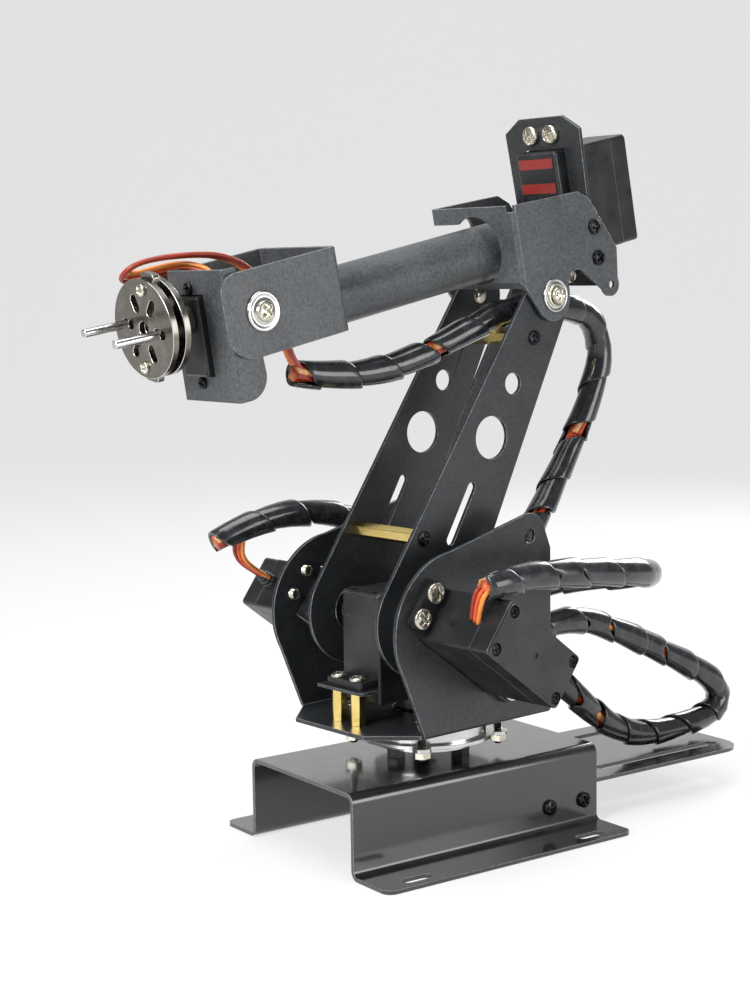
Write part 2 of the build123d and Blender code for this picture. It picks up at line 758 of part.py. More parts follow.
keep(set_of(m3_screw, housing_screw_places), "housing_screws", elbow_at)
roll_at = Plane(origin=(roll_ear_face, 0, roll_axis_height), x_dir=(0, 0, -1), z_dir=(1, 0, 0)).location
keep(big_case, "roll_servo_case", elbow_at * roll_at)
keep(big_cover, "roll_servo_cover", elbow_at * roll_at)
roll_screw_places = [roll_at * Location((x, y, sheet)) for x, y in big_hole_places]
roll_screws = [ear_screw.moved(place) for place in roll_screw_places]
keep(Compound(roll_screws + [cover_screw_set.moved(roll_at)]), "roll_servo_screws", elbow_at)
roll_horn_at = roll_at * Location((0, 0, servo_above_ears))
keep(big_horn, "roll_servo_horn", elbow_at * roll_horn_at)

# Forearm tube on its end plug
horn_front = roll_ear_face + servo_above_ears + horn_gap + horn_thickness
with BuildPart() as tube_plug:
    with BuildSketch(Plane.YZ.offset(horn_front)):
        with Locations((0, roll_axis_height)):
            Circle(horn_radius + 1.5)
    extrude(amount=tube_start - horn_front)
    with BuildSketch(Plane.YZ.offset(tube_start)):
        with Locations((0, roll_axis_height)):
            Circle(tube_radius - sheet - fit)
    extrude(amount=6)
keep(tube_plug.part, "tube_plug", elbow_at)
web_rear = fork_web - 1.1
with BuildPart() as tube:
    with BuildSketch(Plane.YZ.offset(tube_start)):
        with Locations((0, roll_axis_height)):
            Circle(tube_radius)
            Circle(tube_radius - sheet, mode=Mode.SUBTRACT)
    extrude(amount=web_rear - tube_start)
keep(tube.part, "forearm_tube", elbow_at)

# Wrist fork, drawn from where its web crosses the roll axis
fork_inner = fork_half_width - sheet
with BuildPart() as fork:
    with BuildSketch(Plane.XZ):
        with Locations((23.45, 5.45)):
            Rectangle(49.1, 28.1)
        fillet(vertices().group_by(Axis.X)[-1].sort_by(Axis.Y)[0], 10)
        fillet(vertices().group_by(Axis.X)[-1].sort_by(Axis.Y)[-1], 7)
        with Locations((pivot_forward, pivot_up)):
            Circle(4.0, mode=Mode.SUBTRACT)
    extrude(amount=fork_half_width, both=True)
    with BuildSketch(Plane.XY.offset(-20)):
        with Locations((sheet - 1.1 + 40, 0)):
            Rectangle(80, 2 * fork_inner)
    extrude(amount=60, mode=Mode.SUBTRACT)
    fillet(fork.edges().filter_by(Axis.Z).sort_by(Axis.X)[:2], bend)
    with BuildSketch(Plane.XZ.offset(fork_inner)):
        with Locations((pivot_forward - mini_shaft_offset, pivot_up)):
            Rectangle(mini_length + 0.6, mini_width + 0.6)
            with GridLocations(mini_hole_span, 1, 2, 1):
                Circle(1.1)
    extrude(amount=sheet, mode=Mode.SUBTRACT)
keep(fork.part, "wrist_fork", fork_at)

mini_case = servo_case(
    mini_length,
    mini_width,
    mini_below_ears,
    mini_above_ears,
    mini_shaft_offset,
    mini_ear_span,
    mini_ear_thickness,
    mini_width,
    mini_hole_span,
    0,
    1.1,
    0,
)
pivot_in_fork = Location((pivot_forward, 0, pivot_up))
wrist_servo_at = pivot_in_fork * Plane(
    origin=(0, -fork_half_width, 0), x_dir=(1, 0, 0), z_dir=(0, 1, 0)
).location
keep(mini_case, "wrist_servo", fork_at * wrist_servo_at)

# Wrist bracket, turning in the fork and carrying the tool servo
near_cheek = 18.6
far_cheek = -12.0
plate_front = 12.5
with BuildPart() as wrist_bracket:
    with BuildSketch(Plane.XZ):
        with BuildLine():
            Polyline((plate_front, 15.2), (plate_front, -27.5), (8.0, -27.5))
            ThreePointArc((8.0, -27.5), (2.8, -25.2), (0.6, -20.0))
            Line((0.6, -20.0), (1.5, -8.5))
            Line((1.5, -8.5), (-4.5, -7.5))
            ThreePointArc((-4.5, -7.5), (-8.75, 0), (-4.5, 7.5))
            Polyline((-4.5, 7.5), (6.0, 11.0), (7.0, 15.2), (plate_front, 15.2))
        make_face()
        Circle(3.0, mode=Mode.SUBTRACT)
    extrude(amount=-near_cheek)
    extrude(to_extrude=wrist_bracket.faces().sort_by(Axis.Y)[0], amount=-far_cheek)
    with BuildSketch(Plane.XY.offset(-40)):
        with Locations((plate_front - sheet - 20, (near_cheek + far_cheek) / 2)):
            Rectangle(40, near_cheek - far_cheek - 2 * sheet)
    extrude(amount=80, mode=Mode.SUBTRACT)
    fillet(wrist_bracket.edges().filter_by(Axis.Z).sort_by(Axis.X)[-2:], 1.2)
    with BuildSketch(Plane.YZ.offset(plate_front - sheet)):
        with Locations((0, -mini_shaft_offset)):
            Rectangle(mini_width + 0.6, mini_length + 0.6)
            with GridLocations(1, mini_hole_span, 1, 2):
                Circle(1.1)
    extrude(amount=sheet, mode=Mode.SUBTRACT)
keep(wrist_bracket.part, "wrist_bracket", wrist_at)
mini_horn_face = -fork_half_width + mini_above_ears
wrist_horn = horn(6.5, far_cheek - mini_horn_face - 0.2, 0.2, 2.9 - fit, 1.9)
keep(wrist_horn, "wrist_servo_horn", wrist_at * Location((0, mini_horn_face, 0), (-90, 0, 0)))
with BuildPart() as wrist_pin:
    with BuildSketch(Plane.XZ.offset(-near_cheek + sheet)):
        Circle(3.0)
    extrude(amount=-sheet - 0.1)
    with BuildSketch(Plane.XZ.offset(-near_cheek)):
        Circle(4.0 - fit)
    extrude(amount=-(fork_half_width + 0.1 - near_cheek))
    with BuildSketch(Plane.XZ.offset(-fork_half_width - 0.1)):
        Circle(6.5)
    extrude(amount=-0.8)
    with BuildSketch(Plane.XZ.offset(-fork_half_width - 0.9)):
        Circle(3.3)
    extrude(amount=-1.6)
keep(wrist_pin.part, "wrist_pivot_screw", wrist_at)
tool_servo_at = Plane(origin=(plate_front - sheet, 0, 0), x_dir=(0, 0, 1), z_dir=(1, 0, 0)).location
keep(mini_case, "tool_servo", wrist_at * tool_servo_at)
mini_screw = pan_screw(1.0, 2.0, 1.4, sheet + mini_ear_thickness + 1)
tool_screw_places = []
for x, y in servo_holes(mini_hole_span, 0):
    tool_screw_places.append(tool_servo_at * Location((x - mini_shaft_offset, y, sheet)))
keep(set_of(mini_screw, tool_screw_places), "tool_servo_screws", wrist_at)

# Tool: hub, two slotted discs, plate between them, screws and two pins
rear_disc_front = disc_front - disc_spacing
tool_face = plate_front - sheet + mini_above_ears
with BuildPart() as tool_hub:
    with BuildSketch(Plane.YZ.offset(tool_face - 1.9)):
        Circle(2.9 - fit)
    extrude(amount=2.1)
    with BuildSketch(Plane.YZ.offset(tool_face + 0.2)):
        Circle(5.0)
    extrude(amount=rear_disc_front - disc_thickness - tool_face - 0.2)
keep(tool_hub.part, "tool_hub", tool_at)


def slotted_disc(front, centre_hole):
    # Six radial slots leave a web round the centre and a rim
    with BuildPart() as disc:
        with BuildSketch(Plane.YZ.offset(front - disc_thickness)):
            Circle(disc_radius)
            if centre_hole:
                Circle(2.5, mode=Mode.SUBTRACT)
            with PolarLocations(pin_circle, 6):
                SlotOverall(6.0, 2 * pin_radius + 0.2, mode=Mode.SUBTRACT)
            with Locations((0, tool_screw_circle), (0, -tool_screw_circle)):
                Circle(1.0, mode=Mode.SUBTRACT)
        extrude(amount=disc_thickness)
    return disc.part


keep(slotted_disc(rear_disc_front, False), "tool_rear_disc", tool_at)
keep(slotted_disc(disc_front, True), "tool_front_disc", tool_at)
plate_gap = disc_spacing - disc_thickness
with BuildPart() as tool_plate:
    with BuildSketch(Plane.YZ.offset(rear_disc_front)):
        RectangleRounded(7.0, 2 * disc_radius + 3.4, 1.5)
        Circle(2.5, mode=Mode.SUBTRACT)
        with Locations((0, tool_screw_circle), (0, -tool_screw_circle)):
            Circle(1.0, mode=Mode.SUBTRACT)
    extrude(amount=plate_gap)
keep(tool_plate.part, "tool_plate", tool_at)
tool_screw = pan_screw(1.0 - fit, 2.0, 1.2, disc_thickness + disc_spacing)
tool_heads = []
for z in (tool_screw_circle, -tool_screw_circle):
    tool_heads.append(facing((disc_front, 0, z), (1, 0, 0)))
keep(set_of(tool_screw, tool_heads), "tool_screws", tool_at)
with BuildPart() as pins:
    with BuildSketch(Plane.YZ.offset(rear_disc_front)):
        with Locations((pin_circle, 0), (-pin_circle, 0)):
            Circle(pin_radius)
    extrude(amount=disc_spacing + pin_reach)
    chamfer(pins.faces().group_by(Axis.X)[-1].edges(), 0.3)
keep(pins.part, "tool_pins", tool_at)


# Cords: straight runs joined by arcs as large as the runs allow
def cord(points, radius, label):
    corners = []
    for before, corner, after in zip(points, points[1:], points[2:]):
        arrive = Vector(*corner) - Vector(*before)
        leave = Vector(*after) - Vector(*corner)
        half_turn = radians(arrive.get_angle(leave)) / 2
        corners.append(0.45 * min(arrive.length, leave.length) / tan(half_turn))
    print(label, "bend radii", [round(r, 1) for r in corners])
    with BuildPart() as tube:
        with BuildLine():
            route = FilletPolyline(*points, radius=corners)
        with BuildSketch(Plane(origin=route @ 0, z_dir=route % 0)):
            Circle(radius)
        sweep()
    share = tube.part.volume / (pi * radius**2 * route.length)
    print(label, "volume over section times length", round(share, 3))
    return tube.part


def harness(leads, sleeve, label):
    # A thin bundle of leads that runs into its wrapped sleeve
    piece = cord(sleeve, sleeve_radius, label + " sleeve")
    if leads:
        piece = piece + cord(leads, lead_radius, label + " leads")
    keep(piece, label, turret_at)


# Leads leave the cases of the shoulder servos on their upper end faces
lead_depth = servo_below_ears - servo_cover_depth
case_end = servo_length / 2 - servo_shaft_offset
lead_x = shoulder_x + case_end * cos(radians(shoulder_servo_tilt))
lead_z = shoulder_z + case_end * sin(radians(shoulder_servo_tilt))
lead_y = turret_half_width + lead_depth - 3
near_leads = [
    (lead_x, lead_y, lead_z),
    (31, lead_y, 91.7),
    (35.5, 56, 96.5),
    (34, 59, 101.6),
    (26, 60, 102.5),
]
near_sleeve = [
    (29, 60, 102.4),
    (14, 60, 102.8),
    (-6, 60, 101.4),
    (-30, 59, 98.8),
    (-52, 57, 96),
    (-66, 50, 93),
    (-74, 38, 90.5),
    (-70, 26, 88.8),
    (-58, 18, 88.2),
    (-46, 15, 87.5),
    (-36, 12, 86),
]
harness(near_leads, near_sleeve, "near_servo_harness")
far_leads = [
    (lead_x, -lead_y, lead_z),
    (33, -lead_y, 93.1),
    (44, -53, 96.5),
    (53, -51, 100.5),
    (56, -50, 106),
    (53, -49.5, 109),
]
far_sleeve = [
    (56, -50, 107.2),
    (46, -48.5, 111.5),
    (28, -46.5, 115.5),
    (10, -44.5, 114.5),
    (-6, -43, 110.3),
    (-22, -42, 101),
    (-35, -41, 87),
    (-41, -38, 74),
    (-40, -30, 65),
    (-35, -19, 62.3),
    (-30, -9, 62),
    (-30, 0, 62),
]
harness(far_leads, far_sleeve, "far_servo_harness")
loop_sleeve = [
    (-24, 20, 81),
    (-24, 20, 75),
    (-31, 20, 71.3),
    (-43, 20, 73),
    (-60, 20, 73.5),
    (-80, 20, 66.5),
    (-101, 20, 57),
    (-121, 20, 47.5),
    (-137, 20, 39),
    (-144, 20, 31.5),
    (-139, 20, 24.5),
    (-127, 20, 23),
    (-111, 20, 21.9),
    (-92, 20, 23),
    (-74, 20, 31),
    (-58, 19.5, 44.5),
    (-44, 18, 56),
    (-34, 14, 61),
    (-30, 7, 62),
    (-30, 0, 62),
]
harness([], loop_sleeve, "loop_harness")
tool_lead = [
    (86.9, -2, 198.8),
    (87.69, -2, 203.74),
    (94, -8, 208.2),
    (103, -13, 207.4),
    (107.3, -8, 207.6),
    (103, -3, 209),
    (94, -2, 211),
    (81, -3.5, 210.5),
    (70, -4, 204.5),
    (63, -2.5, 194),
    (61, -1, 183),
    (58.5, 0, 173.2),
    (54, 0.3, 168.6),
]
forearm_sleeve = [
    (58, 0, 170.3),
    (36, 1, 167.4),
    (10.5, 3, 171.2),
    (-13, 5, 180.2),
    (-36, 6, 189.2),
    (-60, 6, 189.8),
    (-82, 4, 187.5),
    (-93, 2, 173),
    (-86, 0.5, 151),
    (-72, 0, 129),
    (-57, 3, 112.5),
    (-42, 10, 103),
    (-29, 17, 97.5),
    (-24, 20, 89),
    (-24, 20, 81),
]
harness(tool_lead, forearm_sleeve, "forearm_harness")
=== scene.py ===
import json

import bmesh
import bpy
import numpy as np
from mathutils import Matrix, Vector

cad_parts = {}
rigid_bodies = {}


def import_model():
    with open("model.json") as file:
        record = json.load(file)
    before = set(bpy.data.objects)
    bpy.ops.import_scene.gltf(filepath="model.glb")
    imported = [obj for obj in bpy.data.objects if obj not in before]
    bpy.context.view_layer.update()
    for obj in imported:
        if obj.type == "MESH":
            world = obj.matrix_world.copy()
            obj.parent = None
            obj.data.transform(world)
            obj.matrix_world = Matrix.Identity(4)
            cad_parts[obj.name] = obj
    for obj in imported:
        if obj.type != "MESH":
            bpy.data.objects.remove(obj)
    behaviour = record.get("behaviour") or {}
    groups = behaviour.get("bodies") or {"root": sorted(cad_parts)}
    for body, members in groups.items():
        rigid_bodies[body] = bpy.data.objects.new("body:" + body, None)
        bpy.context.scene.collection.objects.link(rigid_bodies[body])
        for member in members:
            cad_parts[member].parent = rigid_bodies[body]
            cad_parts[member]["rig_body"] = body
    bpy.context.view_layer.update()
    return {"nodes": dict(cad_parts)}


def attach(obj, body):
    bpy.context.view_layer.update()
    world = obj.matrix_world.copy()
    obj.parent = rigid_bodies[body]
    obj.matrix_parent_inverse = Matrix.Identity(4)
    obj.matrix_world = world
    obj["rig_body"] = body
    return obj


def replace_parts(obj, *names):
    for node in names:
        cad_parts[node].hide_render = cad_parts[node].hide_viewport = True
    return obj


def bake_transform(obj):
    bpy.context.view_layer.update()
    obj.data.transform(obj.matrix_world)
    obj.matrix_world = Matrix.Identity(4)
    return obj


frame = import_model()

mm = 0.001
print("arm loaded,", len(frame["nodes"]), "nodes")


# small helpers for places and meshes

def turn(degrees, axis):
    return Matrix.Rotation(np.radians(degrees), 4, axis)


def shift(x, y, z):
    return Matrix.Translation((x, y, z))


def axes(origin, xDir, zDir):
    # a place whose X and Z point along the two directions
    x, z = Vector(xDir).normalized(), Vector(zDir).normalized()
    y = z.cross(x)
    turned = Matrix((x, y, z)).transposed().to_4x4()
    return shift(*origin) @ turned


def placed(points, place):
    # points times the place's turn, plus its shift, millimetres to metres
    matrix = np.array(place)
    return (np.asarray(points, float) @ matrix[:3, :3].T + matrix[:3, 3]) * mm


armPose = dict(yaw=5.0, shoulder=(19, 0, 82.6), armTilt=-30.26, armLength=129.2, foreTilt=11.5, servoTilt=36.84)
turretPlace = turn(armPose["yaw"], "Z")
shoulderPlace = turretPlace @ shift(*armPose["shoulder"])
armPlace = shoulderPlace @ turn(armPose["armTilt"], "Y")
elbowPlace = armPlace @ shift(0, 0, armPose["armLength"]) @ turn(armPose["foreTilt"] - armPose["armTilt"], "Y")
forkPlace = elbowPlace @ shift(96.7, 0, 18.4)
wristPlace = forkPlace @ shift(33, 0, 5.5) @ turn(-2.5, "Y")
toolPlace = wristPlace @ turn(-11, "X")
servoLean = np.radians(armPose["servoTilt"])
leanDir = (np.cos(servoLean), 0, np.sin(servoLean))
nearServoPlace = turretPlace @ axes((19, 34, 82.6), leanDir, (0, -1, 0))
farServoPlace = turretPlace @ axes((19, -34, 82.6), leanDir, (0, 1, 0))
yawServoPlace = turretPlace @ axes((0, 0, 59.3), (-1, 0, 0), (0, 0, -1))
rollServoPlace = elbowPlace @ axes((-28.5, 0, 18.4), (0, 0, -1), (1, 0, 0))
toolServoPlace = wristPlace @ axes((11, 0, 0), (0, 0, 1), (1, 0, 0))


def gridFaces(rows, cols, tube):
    # each cell of the grid is a face, and in a tube the last column joins the first
    i, j = np.meshgrid(np.arange(rows - 1), np.arange(cols - (not tube)), indexing="ij")
    a, b = i * cols + j, i * cols + (j + 1) % cols
    return np.stack([a, b, b + cols, a + cols], -1).reshape(-1, 4)


def makePiece(name, grids, finish, body=None, tube=True, caps=False, tones=None):
    # every grid is rows by columns by three, all of them go into one mesh; caps close a tube's two ends
    points, faces, start = [], [], 0
    for grid in grids:
        rows, cols = grid.shape[:2]
        points.append(grid.reshape(-1, 3))
        faces += (gridFaces(rows, cols, tube) + start).tolist()
        if caps:
            faces.append((start + np.arange(cols))[::-1].tolist())
            faces.append((start + (rows - 1) * cols + np.arange(cols)).tolist())
        start += rows * cols
    mesh = bpy.data.meshes.new(name)
    mesh.from_pydata(np.concatenate(points), [], faces)
    if tones is not None:
        colours = np.concatenate([tone.reshape(-1, 4) for tone in tones]).astype(np.float32)
        mesh.attributes.new("strandTone", "FLOAT_COLOR", "POINT").data.foreach_set("color", colours.ravel())
    work = bmesh.new()
    work.from_mesh(mesh)
    bmesh.ops.remove_doubles(work, verts=work.verts, dist=1e-6)
    bmesh.ops.recalc_face_normals(work, faces=work.faces)
    work.to_mesh(mesh)
    work.free()
    mesh.polygons.foreach_set("use_smooth", np.full(len(mesh.polygons), True))
    mesh.materials.append(finish)
    piece = bpy.data.objects.new(name, mesh)
    bpy.context.scene.collection.objects.link(piece)
    if body:
        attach(piece, body)
    return piece


# camera, before everything else

view = dict(target=(21.15, 0.0, 123.67), azimuth=144.45, elevation=7.03, roll=-0.85, distance=656.97, lens=67.05)
azimuth, elevation, roll = (np.radians(view[key]) for key in ("azimuth", "elevation", "roll"))
back = Vector((np.sin(azimuth) * np.cos(elevation), -np.cos(azimuth) * np.cos(elevation), np.sin(elevation)))
side = (-back).cross(Vector((0, 0, 1))).normalized()
upright = side.cross(-back)
sideRolled = np.cos(roll) * side + np.sin(roll) * upright
upRolled = -np.sin(roll) * side + np.cos(roll) * upright
cameraData = bpy.data.cameras.new("armCamera")
cameraData.sensor_width = cameraData.sensor_height = 36
cameraData.lens = view["lens"]
cameraData.clip_start, cameraData.clip_end = 0.01, 50
armCamera = bpy.data.objects.new("armCamera", cameraData)
seat = Matrix((sideRolled, upRolled, back)).transposed().to_4x4()
armCamera.matrix_world = shift(*((Vector(view["target"]) + back * view["distance"]) * mm)) @ seat
bpy.context.scene.collection.objects.link(armCamera)
bpy.context.scene.camera = armCamera
bpy.context.scene.view_settings.view_transform = "Standard"
print("camera set")


# shader sockets that can be added and multiplied

class Tap:
    # one output of a node; + - and * on it build Math nodes

    def __init__(self, tree, socket):
        self.tree, self.socket = tree, socket

    def node(self, kind, out=0, settings=None, **plugs):
        # any other node: settings are its options, plugs go to its inputs by name
        made = self.tree.nodes.new("ShaderNode" + kind)
        for key, value in (settings or {}).items():
            setattr(made, key, value)
        for key, value in plugs.items():
            feed(self.tree, made.inputs[key.replace("_", " ")], value)
        return Tap(self.tree, made.outputs[out])

    def maths(self, operation, first, second):
        made = self.tree.nodes.new("ShaderNodeMath")
        made.operation = operation
        feed(self.tree, made.inputs[0], first)
        feed(self.tree, made.inputs[1], second)
        return Tap(self.tree, made.outputs[0])

    def __add__(self, other): return self.maths("ADD", self, other)
    def __radd__(self, other): return self.maths("ADD", other, self)
    def __sub__(self, other): return self.maths("SUBTRACT", self, other)
    def __rsub__(self, other): return self.maths("SUBTRACT", other, self)
    def __mul__(self, other): return self.maths("MULTIPLY", self, other)
    def __rmul__(self, other): return self.maths("MULTIPLY", other, self)

    def over(self, low, high):
        # nought below low, one above high, smooth between
        return self.node("MapRange", settings=dict(interpolation_type="SMOOTHSTEP"),
                         Value=self, From_Min=low, From_Max=high)

    def blend(self, blendType, share, first, second):
        # two colours: the second goes over the first by the share
        made = self.tree.nodes.new("ShaderNodeMix")
        made.data_type, made.blend_type = "RGBA", blendType
        feed(self.tree, made.inputs[0], share)
        feed(self.tree, made.inputs[6], first)
        feed(self.tree, made.inputs[7], second)
        return Tap(self.tree, made.outputs[2])

    def between(self, dark, light):
        # this value as the share of the light colour over the dark one
        return self.blend("MIX", self, dark, light)


def feed(tree, socket, value):
    if isinstance(value, Tap):
        tree.links.new(value.socket, socket)
    elif isinstance(value, (tuple, list)) and socket.type == "RGBA":
        socket.default_value = (*value[:3], 1)
    else:
        socket.default_value = value


def newFinish(name):
    # a material, its shader, a tap on the place in the object in millimetres, and the tree
    finish = bpy.data.materials.new(name)
    finish.use_nodes = True
    tree = finish.node_tree
    shader = tree.nodes["Principled BSDF"]
    coords = tree.nodes.new("ShaderNodeTexCoord")
    place = Tap(tree, coords.outputs["Object"])
    inMm = place.node("VectorMath", settings=dict(operation="MULTIPLY"))
    made = inMm.socket.node
    tree.links.new(place.socket, made.inputs[0])
    made.inputs[1].default_value = (1000, 1000, 1000)
    return finish, shader, inMm, tree


def grain(place, size, detail=3.0, roughness=0.5):
    # noise about one half, whose lumps are size millimetres wide
    return place.node("TexNoise", Vector=place, Scale=1.0 / size, Detail=detail, Roughness=roughness)


def bumpOf(place, height, distance):
    return place.node("Bump", Height=height, Distance=distance * mm, Strength=1.0)


def wire(tree, shader, **plugs):
    for key, value in plugs.items():
        feed(tree, shader.inputs[key.replace("_", " ")], value)


def paintFinish(name, dark, light, roughness, peel, peelSize, coat=0.0):
    # powder coat: fine peel in the surface, faint cloudy tone, dust that lifts the roughness in patches
    finish, shader, place, tree = newFinish(name)
    cloud = grain(place, 14, 4)
    speck = grain(place, 0.35, 2)
    mottle = grain(place, 1.1, 2, 0.6)
    tone = (cloud * 0.2 + speck * 0.25 + mottle * 0.55).over(0.36, 0.64)
    rough = roughness + (grain(place, 7, 5) - 0.5) * 0.22 + (speck - 0.5) * 0.1
    height = grain(place, peelSize, 2.5, 0.6) + 0.35 * grain(place, peelSize * 0.4, 1)
    wire(tree, shader, Base_Color=tone.between(dark, light), Roughness=rough, Normal=bumpOf(place, height, peel))
    shader.inputs["Coat Weight"].default_value = coat
    shader.inputs["Coat Roughness"].default_value = 0.1
    return finish


def plasticFinish(name, dark, light, roughness, sparkSize, spark):
    # moulded plastic: spark-eroded grain, faint flow tone and rubbed shiny patches
    finish, shader, place, tree = newFinish(name)
    tone = grain(place, 9, 3).over(0.35, 0.68)
    rubbed = grain(place, 5, 4).over(0.52, 0.75)
    height = grain(place, sparkSize, 2, 0.7)
    wire(tree, shader, Base_Color=tone.between(dark, light), Roughness=roughness - rubbed * 0.14,
         Normal=bumpOf(place, height, spark))
    shader.inputs["Specular IOR Level"].default_value = 0.5
    return finish


def metalFinish(name, dark, light, roughness, grainSize, scratch):
    # bare metal: a faint grain, and thin stain patches that dull it
    finish, shader, place, tree = newFinish(name)
    lines = grain(place, grainSize, 3, 0.6)
    stain = grain(place, 6, 4).over(0.4, 0.72)
    tone = (lines * 0.6 + stain * 0.4).over(0.25, 0.75)
    rough = roughness + stain * 0.07 + (lines - 0.5) * 0.05
    wire(tree, shader, Base_Color=tone.between(dark, light), Roughness=rough, Normal=bumpOf(place, lines, scratch))
    shader.inputs["Metallic"].default_value = 1
    return finish


charcoalPaint = paintFinish("charcoalPaint", (0.010, 0.0115, 0.013), (0.026, 0.029, 0.032), 0.36, 0.02, 0.45)
# the same charcoal paint made lighter: painted light, for the forearm pieces that catch more of the light
litCharcoalPaint = paintFinish("litCharcoalPaint", (0.036, 0.039, 0.042), (0.084, 0.090, 0.096), 0.40, 0.08, 0.9)
glossPaint = paintFinish("glossPaint", (0.008, 0.009, 0.0095), (0.018, 0.019, 0.021), 0.22, 0.006, 0.6, 0.9)
# lighter paint for the rolled edges of the sheet metal: partly worn paint, partly a painted highlight along the edges
edgeWearAndHighlight = paintFinish("edgeWearAndHighlight", (0.07, 0.075, 0.08), (0.22, 0.23, 0.24), 0.30, 0.01, 0.25)
servoPlastic = plasticFinish("servoPlastic", (0.006, 0.0065, 0.007), (0.017, 0.018, 0.0195), 0.40, 0.22, 0.010)
# the servo cases' rolled edges in a lighter plastic: a painted highlight along them
servoEdgeHighlight = plasticFinish("servoEdgeHighlight", (0.03, 0.032, 0.034), (0.06, 0.064, 0.068), 0.3, 0.3, 0.006)
hornPlastic = plasticFinish("hornPlastic", (0.008, 0.008, 0.009), (0.018, 0.018, 0.02), 0.34, 0.3, 0.006)
spacerBrass = metalFinish("spacerBrass", (0.72, 0.54, 0.18), (0.82, 0.64, 0.25), 0.18, 2.4, 0.0003)
brushedDisc = metalFinish("brushedDisc", (0.20, 0.185, 0.16), (0.26, 0.245, 0.215), 0.22, 1.8, 0.0004)
brightSteel = metalFinish("brightSteel", (0.56, 0.56, 0.55), (0.66, 0.66, 0.65), 0.17, 1.6, 0.0002)
zincScrew = metalFinish("zincScrew", (0.56, 0.53, 0.44), (0.66, 0.63, 0.53), 0.24, 2.2, 0.0001)
blackScrew = metalFinish("blackScrew", (0.020, 0.021, 0.023), (0.045, 0.047, 0.05), 0.28, 1.2, 0.001)


def wrapFinish(name):
    # smoky polythene wrap: glossy, slightly wavy, dulled in streaks
    finish, shader, place, tree = newFinish(name)
    tone = grain(place, 4, 3).over(0.4, 0.7)
    streak = grain(place, 2.2, 3).over(0.5, 0.8)
    wire(tree, shader, Base_Color=tone.between((0.011, 0.012, 0.0135), (0.028, 0.030, 0.033)),
         Roughness=0.2 + streak * 0.16, Normal=bumpOf(place, grain(place, 5.5, 1), 0.10))
    shader.inputs["Coat Weight"].default_value = 0.4
    shader.inputs["Coat Roughness"].default_value = 0.08
    return finish


def strandFinish(name):
    # insulated wires: colour from the mesh's own attribute, faintly dirty, satin
    finish, shader, place, tree = newFinish(name)
    tone = tree.nodes.new("ShaderNodeAttribute")
    tone.attribute_name = "strandTone"
    paint = Tap(tree, tone.outputs["Color"])
    dirt = grain(place, 3, 4).over(0.45, 0.75)
    dusk = paint.blend("MULTIPLY", 1, paint, dirt.between((1, 1, 1), (0.72, 0.68, 0.66)))
    wire(tree, shader, Base_Color=dusk, Roughness=0.34 + dirt * 0.12,
         Normal=bumpOf(place, grain(place, 0.8, 2), 0.012))
    return finish


wrapPlastic = wrapFinish("wrapPlastic")
wireJacket = strandFinish("wireJacket")
print("finishes made")


# cords: routes in the turret's own frame, the same points as the solids have

def inTurret(points):
    return placed(points, turretPlace)


nearLead = [(27.04, 55, 88.63), (28, 56.5, 92.5), (29, 58.5, 96.5), (28.5, 60, 100), (22, 60, 101.6)]
nearSleeve = [(28, 60, 100.6), (14, 60, 101.8), (-6, 60, 101.4), (-30, 59, 98.8), (-52, 57, 96), (-66, 50, 93),
              (-74, 38, 90.5), (-70, 26, 88.8), (-58, 18, 88.2), (-46, 15, 87.5), (-36, 12, 86)]
farLead = [(27.04, -55, 88.63), (33, -55, 93.1), (38.5, -53.5, 96), (43, -52.5, 99.5), (45.5, -51, 104),
           (45, -49.5, 109.5)]
farSleeve = [(56, -50, 107.2), (46, -48.5, 111.5), (28, -46.5, 115.5), (10, -44.5, 114.5), (-6, -43, 110.3),
             (-22, -42, 101), (-35, -41, 87), (-41, -38, 74), (-40, -30, 65), (-35, -19, 62.3), (-30, -9, 62),
             (-30, 0, 62)]
loopSleeve = [(-24, 20, 81), (-24, 20, 75), (-31, 20, 71.3), (-43, 20, 73), (-60, 20, 73.5), (-80, 20, 66.5),
              (-101, 20, 57), (-121, 20, 47.5), (-137, 20, 39), (-144, 20, 31.5), (-139, 20, 24.5), (-127, 20, 23),
              (-111, 20, 21.9), (-92, 20, 23), (-74, 20, 31), (-58, 19.5, 44.5), (-44, 18, 56), (-34, 14, 61),
              (-30, 7, 62), (-30, 0, 62)]
toolLead = [(86.9, -2, 198.8), (87.7, -3, 204), (93, -12, 206.5), (101, -17.5, 204.5), (108, -20, 202.5),
            (113, -18, 203.5), (111, -14, 207), (104, -11, 209), (94, -7, 210), (83, -6, 209.8), (72, -5, 205.6),
            (65, -3, 195), (61, -1, 183), (58.5, 0, 173.2), (53, 0.5, 169.2)]
# the long sleeve is cut in three where it has to bend with a joint, always half way along a run
forkSleeve = [(58, 0, 170.3), (36, 1, 167.4), (10.5, 3, 171.2), (-1.25, 4, 175.7)]
elbowSleeve = [(-1.25, 4, 175.7), (-13, 5, 180.2), (-36, 6, 189.2), (-60, 6, 189.8), (-82, 4, 187.5), (-93, 2, 173),
               (-86, 0.5, 151), (-79, 0.25, 140)]
rearSleeve = [(-79, 0.25, 140), (-72, 0, 129), (-57, 3, 112.5), (-42, 10, 103), (-29, 17, 97.5),
               (-24, 20, 89), (-24, 20, 81)]


def runOf(line):
    # the distance of each point from the start, along the line
    return np.r_[0, np.cumsum(np.linalg.norm(np.diff(line, axis=0), axis=1))]


def along(run, values, spots):
    # each column of values read at the distances in spots
    return np.stack([np.interp(spots, run, values[:, k]) for k in range(3)], -1)


